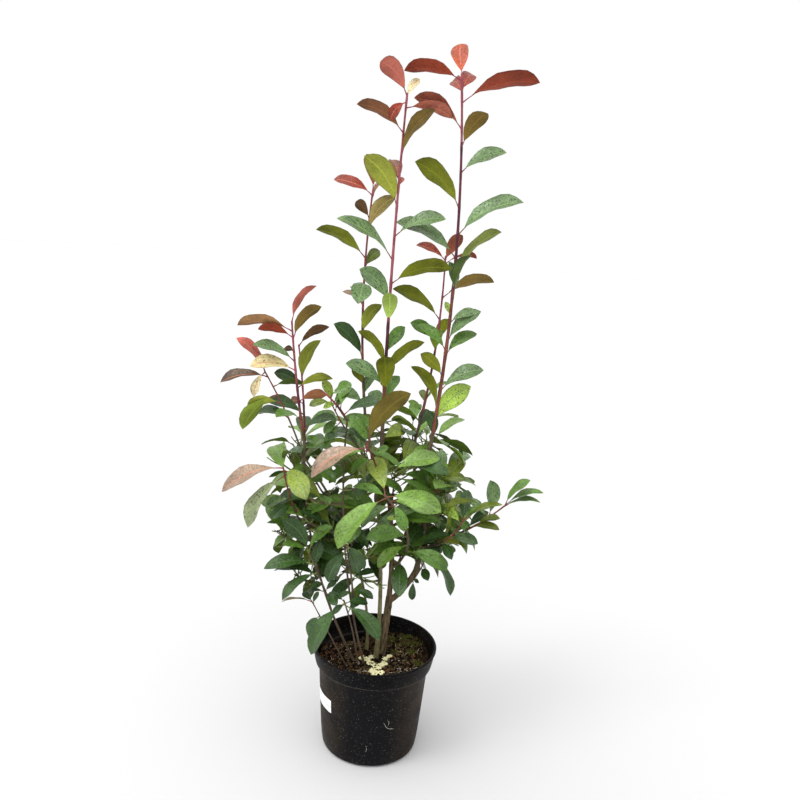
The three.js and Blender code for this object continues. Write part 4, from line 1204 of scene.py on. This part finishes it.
def scatter(joined, draws, bit, x, y, size, flat, finish, lift):
    # one squashed bit, sunk into the compost's top by less as its lift grows
    points, faces = bit
    if hypot(x, y) > soilEdge(soilHeight(x, y)) - 2:
        return
    spin = Matrix.Rotation(6.3 * next(draws), 3, "Z") @ Matrix.Rotation(1.2 * (next(draws) - 0.5), 3, "X")
    stretch = np.array((1, 0.55 + 0.5 * next(draws), flat)) * size
    turned = (points * stretch) @ np.array(spin).T
    joined.add(turned + np.array((x, y, soilTop(x, y) + lift * size)), faces, [finish] * len(faces))


def spotIn(patch, draws):
    x, y, spread = patch
    angle, radius = 2 * pi * next(draws), spread * next(draws) ** 0.6
    return x + radius * cos(angle), y + radius * sin(angle)


def strew(joined, draws, bit, row):
    count, patches, small, large, flat, lift, shares = row
    for i in range(count):
        x, y = spotIn(patches[i % len(patches)], draws)
        size = small + (large - small) * next(draws) ** 2
        pick = next(draws)
        finish = next(finish for upTo, finish in shares if pick < upTo)
        scatter(joined, draws, bit, x, y, size, flat, finish, lift)


def addFibre(joined, draws, x, y, turn, length, thick, finish, rise):
    swerve = 2.4 * (next(draws) - 0.5)
    points = []
    for k in range(6):
        way = turn + swerve * k / 5
        x, y = x + length / 5 * cos(way), y + length / 5 * sin(way)
        points.append(Vector((x, y, soilTop(x, y) + thick + rise * sin(pi * k / 5) * next(draws))))
    if max(hypot(point.x, point.y) for point in points) < 82:
        tube(joined, points, (thick,) * 6, 4, [finish])


def addMoss(joined, draws):
    # short tapered shoots stand in cushions
    for i in range(compost["mossShoots"]):
        x, y = spotIn(cushions[i % len(cushions)], draws)
        if hypot(x, y) > soilEdge(soilHeight(x, y)) - 2:
            continue
        foot = Vector((x, y, soilTop(x, y) - 0.5))
        tip = foot + Vector((3 * (next(draws) - 0.5), 3 * (next(draws) - 0.5), 2 + 2.6 * next(draws)))
        finish = moss if next(draws) < 0.65 else brownCrumb
        tube(joined, [foot, (foot + tip) / 2, tip], (0.8, 0.7, 0.15), 4, [finish])


def makeLitter():
    # crumbs, fibres, moss and the pale feed granules that lie on the compost
    draws = seededNumbers(55)
    bit = roundBit()
    litter = Joined()
    for row in compost["strewn"]:
        strew(litter, draws, bit, row)
    scatter(litter, draws, bit, *compost["clod"])
    strew(litter, draws, bit, compost["mossCrumbs"])
    addMoss(litter, draws)
    for _ in range(compost["fibres"]):
        angle, radius = 2 * pi * next(draws), 76 * next(draws) ** 0.5
        pick = next(draws)
        finish = brownCrumb if pick < 0.35 else coir if pick < 0.85 else perlite
        addFibre(litter, draws, radius * cos(angle), radius * sin(angle), 6.3 * next(draws),
                 7 + 18 * next(draws), 0.32, finish, 1.6)
    for _ in range(compost["redRoots"]):  # they stand up behind the thin stems
        addFibre(litter, draws, -18 + 16 * next(draws), 12 + 30 * next(draws), 1.2 + next(draws),
                 10 + 10 * next(draws), 0.5, fernRoot, 7)
    addFibre(litter, draws, *compost["fallenStalk"])
    for wisp in compost["wisps"]:
        points = []
        for turn, height in wisp:
            reach = float(np.interp(height, (33, 52, 90), (80.2, 81.6, 84.2))) + 0.15
            points.append(Vector((reach * cos(radians(turn)), reach * sin(radians(turn)), height)))
        tube(litter, points, (0.08, *(0.17,) * (len(points) - 2), 0.08), 4, [perlite])
    litter.build("compostLitter", [clumpedFinish(*row) for row in litterColours], "compost", [])
    print("compost made, litter faces:", len(litter.faces))


makeSoil()
makeLitter()


studio = {
    "floor": "#bababa", "floorRadius": 14, "sky": "#ffffff", "skyStrength": 1.0,
    "lamps": [  # name, where the light comes from, its breadth in degrees, strength
        ("wideOverheadLight", (-0.35, -0.35, 1), 95, 2.9),
        ("windowLight", (-0.55, -0.35, 1), 20, 0.9),
    ],
}


def makeStudio():
    form = bmesh.new()
    bmesh.ops.create_circle(form, cap_ends=True, segments=96, radius=studio["floorRadius"])
    finish, _, shader, _ = blankFinish("paintedFloor", 0.9)  # matt paint, plain and pale
    shader.inputs["Base Color"].default_value = linear(studio["floor"])
    addObject("paleFloor", meshFrom(form, "paleFloor", finish))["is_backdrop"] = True
    for name, source, breadth, strength in studio["lamps"]:
        lamp = bpy.data.lights.new(name, "SUN")
        lamp.angle, lamp.energy = radians(breadth), strength
        addObject(name, lamp).rotation_euler = Vector(source).to_track_quat("Z", "Y").to_euler()
    world = bpy.data.worlds.new("paleSky")
    bpy.context.scene.world = world
    world.use_nodes = True
    sky = world.node_tree.nodes["Background"]
    sky.inputs[0].default_value = linear(studio["sky"])
    sky.inputs[1].default_value = studio["skyStrength"]
    bpy.context.scene.view_settings.view_transform = "Standard"


view = {
    "place": (0.0146, -1.207, 0.850),
    "lookDown": 12.69,     # degrees below the horizon
    "roll": 3.85,          # the photograph was taken a little askew
    "lens": 36.9,
}


def makeCamera():
    camera = addObject("photoView", bpy.data.cameras.new("photoView"))
    camera.data.lens, camera.data.sensor_width = view["lens"], 36
    tilt = Matrix.Rotation(radians(90 - view["lookDown"]), 4, "X")
    roll = Matrix.Rotation(radians(view["roll"]), 4, "Z")
    camera.matrix_world = Matrix.Translation(view["place"]) @ tilt @ roll
    bpy.context.scene.camera = camera


makeStudio()
makeCamera()
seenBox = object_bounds()
print("boxes:", [tuple(round(v, 4) for v in corner) for corner in (*cadBox, *seenBox)])
